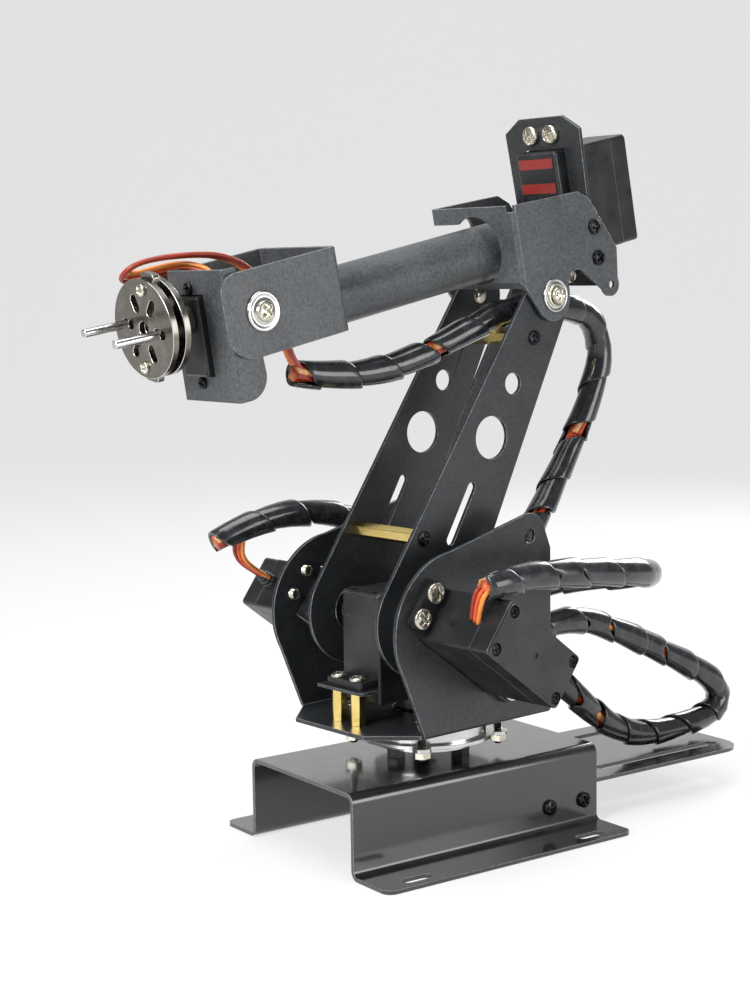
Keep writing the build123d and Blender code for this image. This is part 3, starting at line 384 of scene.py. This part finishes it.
def routeLine(name, points, step):
    # the smooth line that the route's points control, then evenly spaced points on it
    curve = bpy.data.curves.new(name, "CURVE")
    curve.dimensions = "3D"
    spline = curve.splines.new("NURBS")
    spline.points.add(len(points) - 1)
    spline.points.foreach_set("co", np.c_[points, np.ones(len(points))].ravel())
    spline.order_u = 3
    spline.use_endpoint_u = True
    spline.resolution_u = 16
    holder = bpy.data.objects.new(name, curve)
    bpy.context.scene.collection.objects.link(holder)
    bpy.context.view_layer.update()
    mesh = bpy.data.meshes.new_from_object(holder.evaluated_get(bpy.context.evaluated_depsgraph_get()))
    line = np.empty(len(mesh.vertices) * 3)
    mesh.vertices.foreach_get("co", line)
    line = line.reshape(-1, 3)
    bpy.data.objects.remove(holder)
    bpy.data.meshes.remove(mesh)
    bpy.data.curves.remove(curve)
    run = runOf(line)
    spots = np.linspace(0, run[-1], max(12, int(run[-1] / step)))
    return along(run, line, spots), run[-1]


def carried(line, firstSide):
    # two sides at each point of the line, square to it, that turn with it as little as they can
    ahead = np.gradient(line, axis=0)
    ahead /= np.linalg.norm(ahead, axis=1)[:, None]
    sides = np.empty_like(line)
    aside = np.array(firstSide, float)
    for k, way in enumerate(ahead):
        aside = aside - way * (aside @ way)
        aside /= np.linalg.norm(aside)
        sides[k] = aside
    return sides, np.cross(ahead, sides)


# in millimetres and turns; sways and swell are pairs, of how much and of how quickly it comes round
wrapShape = dict(radius=4.35, wall=0.95, pitch=17.5, width=20.0, stepsPerTurn=36, peekDepth=0.5, peekTurns=0.1,
                 peekSearch=0.55, sways=((1.6, 1.9), (1.1, 3.3)), swell=(0.02, 0.17))


def spiralWrap(name, line, body, side, seed, peeks=()):
    # a strip wound round the line: along it by pitch per turn, its trailing edge under the next turn's leading one,
    # so the radius is the base one plus the wall times the place across the strip over the pitch; at each peek the
    # strip narrows on the side that faces the camera, and the wires show through the gap
    run = runOf(line) / mm
    sideA, sideB = carried(line, side)
    length = run[-1]
    turns = length / wrapShape["pitch"]
    share = np.linspace(0, 1, int(turns * wrapShape["stepsPerTurn"]))
    uneven = sum(height * np.sin(share * turns * pace + (k + 1) * seed)
                 for k, (height, pace) in enumerate(wrapShape["sways"]))
    centre = share * length + uneven * np.sin(np.pi * share)
    angle = 2 * np.pi * share * turns + seed
    half, wall = wrapShape["width"] / 2, wrapShape["wall"]
    a, b = along(run, sideA, centre), along(run, sideB, centre)
    outward = np.cos(angle)[:, None] * a + np.sin(angle)[:, None] * b
    facing = outward @ np.array(back)
    narrow = np.ones(len(share))
    for peek in peeks:
        near = abs(centre - peek * length) < wrapShape["pitch"] * wrapShape["peekSearch"]
        best = share[near][np.argmax(facing[near])]
        narrow -= wrapShape["peekDepth"] * np.exp(-((share - best) * turns / wrapShape["peekTurns"]) ** 2)
    # the strip's section: over its outer side from edge to edge, and back along the inner one
    across = np.array([-1, -0.97, -0.9, -0.5, 0, 0.5, 0.9, 0.97, 1, 0.97, 0.9, 0, -0.9, -0.97]) * half
    out = np.array([0.5, 0.85, 1, 1, 1, 1, 1, 0.85, 0.5, 0.15, 0, 0, 0, 0.15]) * wall
    spots = np.clip(centre[:, None] + across[None, :] * narrow[:, None], 0, length)
    swellHeight, swellPace = wrapShape["swell"]
    swell = 1 + swellHeight * np.sin(spots * swellPace + seed)
    overlap = across * wall / wrapShape["pitch"]
    reach = (wrapShape["radius"] * swell + overlap[None, :] + out[None, :] - wall / 2) * mm
    flat = spots.ravel()
    steps = len(share)
    middle = along(run, line, flat).reshape(steps, -1, 3)
    a, b = along(run, sideA, flat).reshape(steps, -1, 3), along(run, sideB, flat).reshape(steps, -1, 3)
    grid = middle + reach[..., None] * (np.cos(angle)[:, None, None] * a + np.sin(angle)[:, None, None] * b)
    return makePiece(name, [grid], wrapPlastic, body, caps=True)


strandColours = np.array([(0.30, 0.030, 0.012, 1), (0.62, 0.085, 0.016, 1), (0.74, 0.24, 0.045, 1),
                          (0.012, 0.012, 0.014, 1), (0.50, 0.055, 0.014, 1), (0.70, 0.36, 0.14, 1)])


bundleShape = dict(radius=3.0, strands=6, columnsPerStrand=8, twist=104.0, lowest=0.80)


def wireBundle(name, line, body, side):
    # wires laid together: the radius swells over each wire and dips between two, and the pattern turns once in
    # each length of twist
    strands = bundleShape["strands"]
    columns = strands * bundleShape["columnsPerStrand"]
    sideA, sideB = carried(line, side)
    run = runOf(line) / mm
    theta = np.linspace(0, 2 * np.pi, columns, endpoint=False)
    lowest = bundleShape["lowest"]
    lift = lowest + (1 - lowest) * np.abs(np.sin(theta * strands / 2))
    angle = (theta[None, :] + run[:, None] * 2 * np.pi / bundleShape["twist"])[..., None]
    reach = bundleShape["radius"] * mm * lift[None, :, None]
    grid = line[:, None] + reach * (np.cos(angle) * sideA[:, None] + np.sin(angle) * sideB[:, None])
    strand = np.arange(columns) // bundleShape["columnsPerStrand"]
    tones = np.broadcast_to(strandColours[strand], (len(line), columns, 4))
    return makePiece(name, [grid], wireJacket, body, caps=True, tones=[tones])


ribbonShape = dict(wireRadius=0.82, steps=12, fan=0.1)


def ribbon(name, line, body, side):
    # three wires side by side: circles whose centres step across the ribbon, a little further apart half way
    sideA, sideB = carried(line, side)
    radius, steps = ribbonShape["wireRadius"] * mm, ribbonShape["steps"]
    theta = np.linspace(0, 2 * np.pi, steps, endpoint=False)[None, :, None]
    share = np.linspace(0, 1, len(line))
    ring = radius * (np.cos(theta) * sideA[:, None] + np.sin(theta) * sideB[:, None])
    grids, tones = [], []
    for place, colour in zip((-1, 0, 1), strandColours):
        apart = place * 2 * radius * (1 + ribbonShape["fan"] * np.sin(np.pi * share))
        centre = line + apart[:, None] * sideA
        grids.append(centre[:, None] + ring)
        tones.append(np.broadcast_to(colour, (len(line), steps, 4)))
    return makePiece(name, grids, wireJacket, body, caps=True, tones=tones)


def laidCord(name, cord, step):
    # the cord's line and length, and a call that puts a new piece in its harness node's place
    line, length = routeLine(name, inTurret(cord["route"]), step)
    print(name, round(length, 4), "m")

    def stands(piece):
        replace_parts(piece, cord["node"])
        if "blend" in cord:
            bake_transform(piece)
        return piece

    return line, length, stands


leads = {
    "nearServoLead": dict(route=nearLead, body="turret", node="near_servo_harness", side=(0, 1, 0)),
    "farServoLead": dict(route=farLead, body="turret", node="far_servo_harness", side=(0, 1, 0.2)),
    "toolServoLead": dict(route=toolLead, blend=("wrist", "forearm"), ends=((81, -3.5, 210.5), (61, -1, 183)),
                          node="forearm_harness", side=(0, 1, 0)),
}
shortestCord, leadStep, sleeveStep = 0.03, 0.001, 0.0015
leadOn = {}
for name, lead in leads.items():
    line, length, stands = laidCord(name, lead, leadStep)
    piece = stands(ribbon(name, line, lead.get("body"), lead["side"]))
    if length > shortestCord:
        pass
    else:  # too short for a cord of its own, so it is kept under its harness node
        leadOn[lead["node"]] = piece

sleeves = {
    "nearServoSleeve": dict(route=nearSleeve, body="turret", node="near_servo_harness", side=(0, 0, 1), seed=0.4,
                            peeks=(0.27,)),
    "farServoSleeve": dict(route=farSleeve, body="turret", node="far_servo_harness", side=(0, 1, 0), seed=2.1),
    "loopSleeve": dict(route=loopSleeve, body="turret", node="loop_harness", side=(0, 1, 0), seed=1.2,
                       peeks=(0.17, 0.27, 0.8)),
    "forkSleeve": dict(route=forkSleeve, blend=("forearm", "housing"), ends=((48, 0, 168), (-1.25, 4, 175.7)),
                       node="forearm_harness", side=(0, 1, 0), seed=0.9),
    # its ends lean back
    "elbowSleeve": dict(route=elbowSleeve, blend=("housing", "lower_arm"), ends=((-86, 2, 180), (-99.6, 2, 152.8)),
                        node="forearm_harness", side=(0, 1, 0), seed=1.7),
    "rearSleeve": dict(route=rearSleeve, blend=("lower_arm", "turret"), ends=((-72, 0, 129), (-29, 17, 97.5)),
                       node="forearm_harness", side=(0, 1, 0), seed=2.6),
}
for name, sleeve in sleeves.items():
    line, length, stands = laidCord(name, sleeve, sleeveStep)
    body = sleeve.get("body")
    core = stands(wireBundle(name, line, body, sleeve["side"]))
    wrap = stands(spiralWrap(name + "Wrap", line, body, sleeve["side"], sleeve["seed"], sleeve.get("peeks", ())))
    extra = [leadOn[sleeve["node"]]] if sleeve["node"] in leadOn else []
    [wrap] + extra
print("cords laid")


# sheet metal and cases: a merged copy of the solid, its edges rounded and painted lighter, a painted highlight along
# them (on the sheet metal partly paint worn off too)

# the angles below which faces are one, and from which an edge is sharp or rounded; the distance within which points
# are one, and how far a point may stand out past an outer edge
softening = dict(flat=np.radians(1.0), sharp=np.radians(28), rounded=np.radians(35), weld=2e-6, slack=5e-5)


def markOuterEdges(work, points):
    # an edge is outer when no point of the mesh lies beyond the plane that leans on it, halfway between its faces
    weight = work.edges.layers.float.new("bevel_weight_edge")
    for edge in work.edges:
        if edge.smooth or len(edge.link_faces) != 2:
            continue
        lean = edge.link_faces[0].normal + edge.link_faces[1].normal
        middle = (edge.verts[0].co + edge.verts[1].co) / 2
        edge[weight] = float((points @ np.array(lean)).max() < middle.dot(lean) + softening["slack"])


def softenedCopy(node, name, finish, edgeFinish, width, outer=False, segments=2):
    # a bevel rolls the edges: all the sharp ones once the loose triangles are merged, or the outer ones alone
    source = frame["nodes"][node]
    work = bmesh.new()
    work.from_mesh(source.data)
    bmesh.ops.remove_doubles(work, verts=work.verts, dist=softening["weld"])
    if not outer:
        bmesh.ops.dissolve_limit(work, angle_limit=softening["flat"], verts=work.verts, edges=work.edges)
    for edge in work.edges:
        edge.smooth = len(edge.link_faces) == 2 and bool(edge.calc_face_angle(0) < softening["sharp"])
    if outer:
        points = np.empty(len(source.data.vertices) * 3)
        source.data.vertices.foreach_get("co", points)
        markOuterEdges(work, points.reshape(-1, 3))
    mesh = bpy.data.meshes.new(name)
    work.to_mesh(mesh)
    work.free()
    mesh.polygons.foreach_set("use_smooth", np.full(len(mesh.polygons), True))
    mesh.materials.append(finish)
    mesh.materials.append(edgeFinish)
    mesh.polygons.foreach_set("material_index", np.zeros(len(mesh.polygons), dtype=np.int32))
    piece = bpy.data.objects.new(name, mesh)
    bpy.context.scene.collection.objects.link(piece)
    rolled = piece.modifiers.new("rolledEdges", "BEVEL")
    rolled.width, rolled.segments = width * mm, segments
    rolled.limit_method, rolled.angle_limit = ("WEIGHT" if outer else "ANGLE"), softening["rounded"]
    rolled.use_clamp_overlap = False
    # the rolled edges take the second material, edgeFinish: on the sheet metal and cases a lighter colour, a painted
    # highlight along the edges
    rolled.material = 1
    even = piece.modifiers.new("evenShading", "WEIGHTED_NORMAL")
    even.weight, even.keep_sharp = 100, True
    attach(piece, source["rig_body"])
    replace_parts(piece, node)


# the housing, fork and wrist bracket take the lighter copy of the charcoal paint, which is painted light
sheetPieces = {
    "base_channel": (glossPaint, 0.16), "tail_plate": (glossPaint, 0.16), "turret_bracket": (charcoalPaint, 0.16),
    "yaw_support_plates": (charcoalPaint, 0.14), "arm_plate_near": (charcoalPaint, 0.15),
    "arm_plate_far": (charcoalPaint, 0.15), "elbow_crank": (charcoalPaint, 0.12),
    "elbow_link": (charcoalPaint, 0.14), "elbow_housing": (litCharcoalPaint, 0.15),
    "roll_servo_plate": (charcoalPaint, 0.15), "wrist_fork": (litCharcoalPaint, 0.15),
    "wrist_bracket": (litCharcoalPaint, 0.15), "near_shoulder_block": (charcoalPaint, 0.2),
    "tube_plug": (charcoalPaint, 0.2),
}
for node, (finish, width) in sheetPieces.items():
    softenedCopy(node, "coated_" + node, finish, edgeWearAndHighlight, width)

casePieces = ("yaw_servo_case", "yaw_servo_cover", "near_shoulder_servo_case", "near_shoulder_servo_cover",
              "far_shoulder_servo_case", "far_shoulder_servo_cover", "roll_servo_case", "roll_servo_cover",
              "wrist_servo", "tool_servo")
for node in casePieces:
    softenedCopy(node, "moulded_" + node, servoPlastic, servoEdgeHighlight, 0.25, outer=True, segments=3)

metalPieces = {
    "tool_front_disc": brushedDisc, "tool_rear_disc": brushedDisc, "tool_plate": brushedDisc,
    "tool_hub": brushedDisc, "tool_pins": brightSteel, "yaw_posts": spacerBrass, "arm_spacers": spacerBrass,
    "bearing_turning_race": brightSteel, "bearing_fixed_race": brightSteel, "shoulder_bearing": brightSteel,
    "link_pin": zincScrew, "bearing_nuts": zincScrew, "bearing_spacers": blackScrew,
}
for node, finish in metalPieces.items():
    rimFinish, width = (brightSteel, 0.16) if finish is brushedDisc else (finish, 0.1)
    softenedCopy(node, "turned_" + node, finish, rimFinish, width)

# the forearm tube takes the lighter copy of the charcoal paint, which is painted light
plainNodes = {
    "forearm_tube": litCharcoalPaint, "near_shoulder_horn": hornPlastic, "far_shoulder_horn": hornPlastic,
    "yaw_servo_horn": hornPlastic, "roll_servo_horn": hornPlastic, "wrist_servo_horn": hornPlastic,
}
for node, finish in plainNodes.items():
    materials = frame["nodes"][node].data.materials
    for slot in range(len(materials)):
        materials[slot] = finish
    if not materials:
        materials.append(finish)
print("sheet, cases and turned parts finished")


# screws with a cross recess, one numpy head for all of them

# the cross, in shares of the head's radius: how far its arms reach, how softly they end and how soft their sides are;
# its depth, in shares of the head's height, and how much shallower it is at the rim
crossShape = dict(arm=0.7, endBlur=0.07, sideBlur=0.05, depth=0.85, shallower=0.35 / 0.66)


def crossHeads(places, headRadius, headHeight, shankRadius, shankLength, slot=0.17, steps=72):
    # from the shank's end out to the head's rim and in over its dome; the dome is a circle's arc, and where the
    # nearer arm of the cross is closer than half its width, slot, the surface drops, less towards the arm's end
    theta = np.linspace(0, 2 * np.pi, steps, endpoint=False)
    inward = np.linspace(1, 0, steps // 3)
    bow = headHeight * (0.5 + 0.5 * np.sqrt(np.clip(1 - inward ** 2 * 0.96, 0, 1)))
    shank, rim = (0, shankRadius * 0.8, shankRadius, shankRadius), (headRadius * 0.96, headRadius)
    radius = np.r_[shank, rim, headRadius * inward]
    height = np.r_[-shankLength, -shankLength, 0.3 - shankLength, 0, 0, 0.12 * headHeight, bow]
    x, y = radius[:, None] * np.cos(theta), radius[:, None] * np.sin(theta)
    arm, cross = np.maximum(abs(x), abs(y)) / headRadius, np.minimum(abs(x), abs(y)) / headRadius
    inside = (np.clip((slot - cross) / crossShape["sideBlur"] + 0.5, 0, 1)
              * np.clip((crossShape["arm"] - arm) / crossShape["endBlur"] + 0.5, 0, 1))
    onDome = (np.arange(len(radius)) >= len(shank) + len(rim))[:, None]
    drop = crossShape["depth"] * headHeight * (1 - crossShape["shallower"] * arm)
    z = height[:, None] - onDome * inside * drop
    shape = np.stack([x, y, np.broadcast_to(z, x.shape)], -1)
    return [placed(shape, place) for place in places]


def turned(places, profile, steps=72):
    # the profile's radius and height carried round the axis, its first and last points on the axis
    theta = np.linspace(0, 2 * np.pi, steps, endpoint=False)
    radius, height = np.array(profile, float).T
    shape = np.stack([radius[:, None] * np.cos(theta), radius[:, None] * np.sin(theta),
                      np.broadcast_to(height[:, None], (len(radius), steps))], -1)
    return [placed(shape, place) for place in places]


def screws(name, node, finish, body, places, **size):
    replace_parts(makePiece(name, crossHeads(places, **size), finish, body), node)


# a large servo, from the middle of its case: its horn's axis, ear holes, cover holes and how deep the cover lies
servoSize = dict(horn=10.2, earX=26, earY=5, coverX=17.25, coverY=7.1, cover=-31.8)


def fourSpots(x, y):
    return [(-x, -y), (-x, y), (x, -y), (x, y)]


def earSpots(place, z, down):
    flip = turn(180, "X") if down else Matrix.Identity(4)
    return [place @ shift(x - servoSize["horn"], y, z) @ flip @ turn(drift, "Z")
            for drift, (x, y) in zip((8, 31, -12, 40), fourSpots(servoSize["earX"], servoSize["earY"]))]


def coverSpots(place):
    return [place @ shift(x - servoSize["horn"], y, servoSize["cover"]) @ turn(180, "X") @ turn(23 * k, "Z")
            for k, (x, y) in enumerate(fourSpots(servoSize["coverX"], servoSize["coverY"]))]


def sideSpots(place, spots, reach):
    # both outer faces of a bracket: spots are X and Z on it, reach is how far out the faces lie
    return [place @ axes((x, out * reach, z), (1, 0, 0), (0, out, 0)) @ turn(29 * k, "Z")
            for k, (x, z) in enumerate(spots) for out in (-1, 1)]


earSize = dict(headRadius=3.6, headHeight=2.4, shankRadius=1.95, shankLength=6.3)
coverSize = dict(headRadius=1.9, headHeight=1.3, shankRadius=1.0, shankLength=0.05, steps=40)
m3Size = dict(headRadius=2.8, headHeight=1.7, shankRadius=1.45)
screws("shoulderEarScrews", "shoulder_ear_screws", zincScrew, "turret",
       earSpots(nearServoPlace, -2.8, True) + earSpots(farServoPlace, -2.8, True), **earSize)
screws("turretCoverScrews", "turret_cover_screws", blackScrew, "turret",
       coverSpots(nearServoPlace) + coverSpots(farServoPlace) + coverSpots(yawServoPlace), **coverSize)
screws("rollEarScrews", "roll_servo_screws", zincScrew, "housing", earSpots(rollServoPlace, 1.5, False), **earSize)
screws("rollCoverScrews", "roll_servo_screws", blackScrew, "housing", coverSpots(rollServoPlace), **coverSize)
yawEarSpots = [turretPlace @ shift(servoSize["horn"] + x, y, 62.1) @ turn((servoSize["horn"] + x) * y, "Z")
               for x in (servoSize["earX"], -servoSize["earX"]) for y in (-servoSize["earY"], servoSize["earY"])]
screws("yawEarScrews", "yaw_ear_screws", zincScrew, "turret", yawEarSpots, shankLength=5.0, **m3Size)
screws("bearingBolts", "bearing_bolts", zincScrew, "turret",
       [turretPlace @ turn(45 + 90 * k, "Z") @ shift(26.3, 0, 46.35) for k in range(4)], shankLength=13.6, **m3Size)
screws("armSpacerScrews", "arm_spacer_screws", blackScrew, "lower_arm",
       sideSpots(armPlace, [(-0.5, 111.9), (12.7, 26.1)], 19.0),
       headRadius=2.7, headHeight=1.0, shankRadius=1.45, shankLength=6.0)
screws("housingScrews", "housing_screws", blackScrew, "housing",
       sideSpots(elbowPlace, [(-25, 20), (-25, 8.5)], 21.5), shankLength=5.0, **m3Size)
undersideSpots = [turn(120 * k, "Z") @ shift(13.5, 0, 28.2) @ turn(180, "X") for k in range(3)]
screws("baseSideScrews", "base_screws", blackScrew, "base",
       sideSpots(Matrix.Identity(4), [(-32, 9.7), (-48.3, 9.7)], 31.8), shankLength=5.0, **m3Size)
screws("baseUnderScrews", "base_screws", zincScrew, "base", undersideSpots, shankLength=8.5, **m3Size)
screws("toolServoScrews", "tool_servo_screws", blackScrew, "wrist",
       [toolServoPlace @ shift(x - 5.9, 0, 1.5) @ turn(x, "Z") for x in (-15.4, 15.4)],
       headRadius=2.0, headHeight=1.4, shankRadius=1.0, shankLength=4.3, steps=48)
screws("discScrews", "tool_screws", zincScrew, "tool",
       [toolPlace @ axes((32, 0, z), (0, 1, 0), (1, 0, 0)) @ turn(z * 3, "Z") for z in (12.6, -12.6)],
       headRadius=2.0, headHeight=1.2, shankRadius=0.95, shankLength=6.9, steps=48)

# elbow: flanged bearings with a grooved face, and the bolt on its washer
elbowSides = sideSpots(elbowPlace, [(0, 0)], 18.9)
bearing = makePiece("elbowFlangedBearings", turned(elbowSides, [
    (3.0, 0.4), (5.0, 0.4), (5.0, 2.6), (6.1, 2.6), (6.1, 3.2), (5.9, 3.4), (5.2, 3.4), (5.05, 3.15), (4.7, 3.15),
    (4.55, 3.35), (3.0, 3.35), (3.0, 0.4)]), brightSteel, "housing")
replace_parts(bearing, "elbow_bearings")
boltSides = sideSpots(armPlace, [(0, armPose["armLength"])], 22.4)
washer = turned(boltSides, [(0, -4.9), (2.95, -4.9), (2.95, 0), (4.25, 0), (4.35, 0.15), (4.35, 0.45), (4.2, 0.6),
                            (3.5, 0.62), (3.4, 0.5), (0, 0.5)])
heads = crossHeads([place @ shift(0, 0, 0.45) @ turn(20, "Z") for place in boltSides], 3.0, 1.9, 2.0, 0.1, 0.2)
bolts = makePiece("elbowBolts", washer, zincScrew, "lower_arm")
boltHeads = makePiece("elbowBoltHeads", heads, zincScrew, "lower_arm")
for piece in (bolts, boltHeads):
    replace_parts(piece, "elbow_bolts")

# wrist: pin, dished washer and its screw
pivotSide = wristPlace @ axes((0, 20.7, 0), (1, 0, 0), (0, 1, 0))
pivot = makePiece("wristPivotWasher", turned([pivotSide], [
    (0, -3.5), (3.0, -3.5), (3.0, -2.1), (3.95, -2.1), (3.95, 0), (6.4, 0), (6.55, 0.2), (6.5, 0.6), (6.2, 0.85),
    (5.6, 0.85), (4.9, 0.5), (4.2, 0.5), (4.0, 0.75), (0, 0.8)]), brightSteel, "wrist")
headPlace = pivotSide @ shift(0, 0, 0.75) @ turn(35, "Z")
pivotHead = makePiece("wristPivotScrew", crossHeads([headPlace], 3.4, 1.9, 2.0, 0.1), zincScrew, "wrist")
for piece in (pivot, pivotHead):
    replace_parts(piece, "wrist_pivot_screw")

# soft plug where the lead leaves the far shoulder servo: a taper, its radius stepping in rings towards the wire
plug = dict(base=3.0, end=2.0, length=6.5, rings=4, ringDepth=0.18)
tip = np.linspace(0, 1, 33)
taper = plug["base"] + (plug["end"] - plug["base"]) * tip
rings = plug["ringDepth"] * np.cos(tip * np.pi * 2 * plug["rings"]) * (tip > 0.15)
grommetProfile = [(0, -0.5)] + list(zip(taper + rings, tip * plug["length"])) + [(0, plug["length"])]
grommetPlace = farServoPlace @ axes((10.05, 0, -21.0), (0, 1, 0), (1, 0, 0))
makePiece("farLeadGrommet", turned([grommetPlace], grommetProfile, 40), hornPlastic, "turret")
print("screws driven")


# label on the roll servo: red, black and red bars, left without words

label = dict(low=(-9.0, 33.0), high=(8.0, 47.0), face=-22.0, gap=0.02, lift=0.08, rim=0.02)


def labelFinish():
    finish, shader, place, tree = newFinish("barLabel")
    across = tree.nodes.new("ShaderNodeUVMap")
    across.uv_map = "labelMap"
    upDown = Tap(tree, across.outputs[0]).node("SeparateXYZ", out=1)
    tree.links.new(across.outputs[0], upDown.socket.node.inputs[0])
    bars = 1 - upDown.over(0.30, 0.31) * (1 - upDown.over(0.69, 0.70))
    edge = upDown.over(0.04, 0.05) * (1 - upDown.over(0.95, 0.96))
    red = grain(place, 1.5, 3).between((0.22, 0.015, 0.012), (0.31, 0.032, 0.024))
    wire(tree, shader, Base_Color=(bars * edge).between((0.012, 0.012, 0.013), red),
         Roughness=0.28 + grain(place, 2, 3) * 0.12)
    return finish


def labelPiece():
    # a thin pad over the case: a flat grid lifted off the face, its rim drawn down to it
    u, v = np.meshgrid(np.linspace(0, 1, 13), np.linspace(0, 1, 13), indexing="ij")
    rim = np.minimum(np.minimum(u, 1 - u), np.minimum(v, 1 - v))
    y = label["low"][0] + u * (label["high"][0] - label["low"][0])
    b = label["low"][1] + v * (label["high"][1] - label["low"][1])
    a = label["face"] + label["lift"] * np.clip(rim / label["rim"], 0, 1) + label["gap"]
    grid = np.stack([a, y, b], -1)
    pad = makePiece("rollServoLabel", [placed(grid, elbowPlace)], labelFinish(), "housing", tube=False)
    spots = np.empty(len(pad.data.vertices) * 3)
    pad.data.vertices.foreach_get("co", spots)
    intoElbow = np.linalg.inv(np.array(elbowPlace))
    local = spots.reshape(-1, 3) / mm @ intoElbow[:3, :3].T + intoElbow[:3, 3]
    size = np.array(label["high"]) - np.array(label["low"])
    flat = (local[:, [1, 2]] - np.array(label["low"])) / size
    corner = np.empty(len(pad.data.loops), dtype=np.int32)
    pad.data.loops.foreach_get("vertex_index", corner)
    pad.data.uv_layers.new(name="labelMap").data.foreach_set("uv", flat[corner].astype(np.float32).ravel())


labelPiece()
print("label stuck on")


# floor, backdrop and light

stageSize = dict(half=3.0, depth=2.5, bend=1.2, rise=3.0)
# how bright the stage and the world show to the camera, and the world's light on the arm
stageGlow, worldGlow, worldLight = 0.66, 0.76, 0.24


def stageSweep():
    # the floor runs back, turns up through a quarter circle and rises, one profile carried sideways
    arc = np.linspace(0, np.pi / 2, 24)
    flat = np.linspace(-stageSize["depth"], stageSize["depth"] - stageSize["bend"], 24)
    reach = np.r_[flat, flat[-1] + stageSize["bend"] * np.sin(arc[1:]), np.full(8, flat[-1] + stageSize["bend"])]
    wall = np.linspace(stageSize["bend"], stageSize["rise"], 9)[1:]
    rise = np.r_[np.zeros(24), stageSize["bend"] * (1 - np.cos(arc[1:])), wall]
    wide = np.linspace(-stageSize["half"], stageSize["half"], 12)
    away = -np.array((back.x, back.y)) / np.hypot(back.x, back.y)
    across = np.array((-away[1], away[0]))
    x = reach[:, None] * away[0] + wide[None, :] * across[0]
    y = reach[:, None] * away[1] + wide[None, :] * across[1]
    return np.stack([x, y, np.broadcast_to(rise[:, None], x.shape)], -1)


def stageFinish():
    finish, shader, place, tree = newFinish("paleFloor")
    cloud = grain(place, 400, 2)
    wire(tree, shader, Base_Color=cloud.between((0.80, 0.80, 0.80), (0.83, 0.83, 0.83)))
    shader.inputs["Roughness"].default_value = 0.85
    glow = tree.nodes.new("ShaderNodeEmission")
    glow.inputs["Color"].default_value = (1, 1, 1, 1)
    path = tree.nodes.new("ShaderNodeLightPath")
    seen = Tap(tree, path.outputs["Is Camera Ray"]) + Tap(tree, path.outputs["Is Glossy Ray"])
    seen = seen + Tap(tree, path.outputs["Is Transmission Ray"])
    mix = tree.nodes.new("ShaderNodeMixShader")
    feed(tree, mix.inputs[0], seen.maths("MINIMUM", seen, 1) * stageGlow)
    tree.links.new(shader.outputs[0], mix.inputs[1])
    tree.links.new(glow.outputs[0], mix.inputs[2])
    tree.links.new(mix.outputs[0], tree.nodes["Material Output"].inputs[0])
    return finish


makePiece("floorSweep", [stageSweep()], stageFinish(), tube=False)

world = bpy.data.worlds.new("studio")
bpy.context.scene.world = world
world.use_nodes = True
tree = world.node_tree
soft = tree.nodes["Background"]
soft.inputs["Color"].default_value = (0.93, 0.96, 1.0, 1)
soft.inputs["Strength"].default_value = worldLight
pale = tree.nodes.new("ShaderNodeBackground")
pale.inputs["Color"].default_value = (1, 1, 1, 1)
pale.inputs["Strength"].default_value = worldGlow
rays = tree.nodes.new("ShaderNodeLightPath")
seenMix = tree.nodes.new("ShaderNodeMixShader")
tree.links.new(rays.outputs["Is Camera Ray"], seenMix.inputs[0])
tree.links.new(soft.outputs[0], seenMix.inputs[1])
tree.links.new(pale.outputs[0], seenMix.inputs[2])
tree.links.new(seenMix.outputs[0], tree.nodes["World Output"].inputs[0])

middle = Vector((0.0, 0.0, 0.12))
lamps = {
    "topSoftbox": dict(side=-0.1, forward=0.1, up=0.9, size=0.8, power=9.0),
    "keySoftbox": dict(side=-0.5, forward=0.62, up=0.32, size=0.36, power=6.5),
    "fillSoftbox": dict(side=0.9, forward=0.5, up=0.12, size=0.5, power=4.0),
    "rearStrip": dict(side=0.45, forward=-0.7, up=0.45, size=0.45, power=5.0),
}
forward = Vector((back.x, back.y, 0)).normalized()
for name, lamp in lamps.items():
    data = bpy.data.lights.new(name, "AREA")
    data.shape, data.size, data.energy = "SQUARE", lamp["size"], lamp["power"]
    spot = middle + side * lamp["side"] + forward * lamp["forward"] + Vector((0, 0, lamp["up"]))
    lampObject = bpy.data.objects.new(name, data)
    facing = (spot - middle).to_track_quat("Z", "Y").to_matrix().to_4x4()
    lampObject.matrix_world = Matrix.Translation(spot) @ facing
    bpy.context.scene.collection.objects.link(lampObject)
print("studio lit")
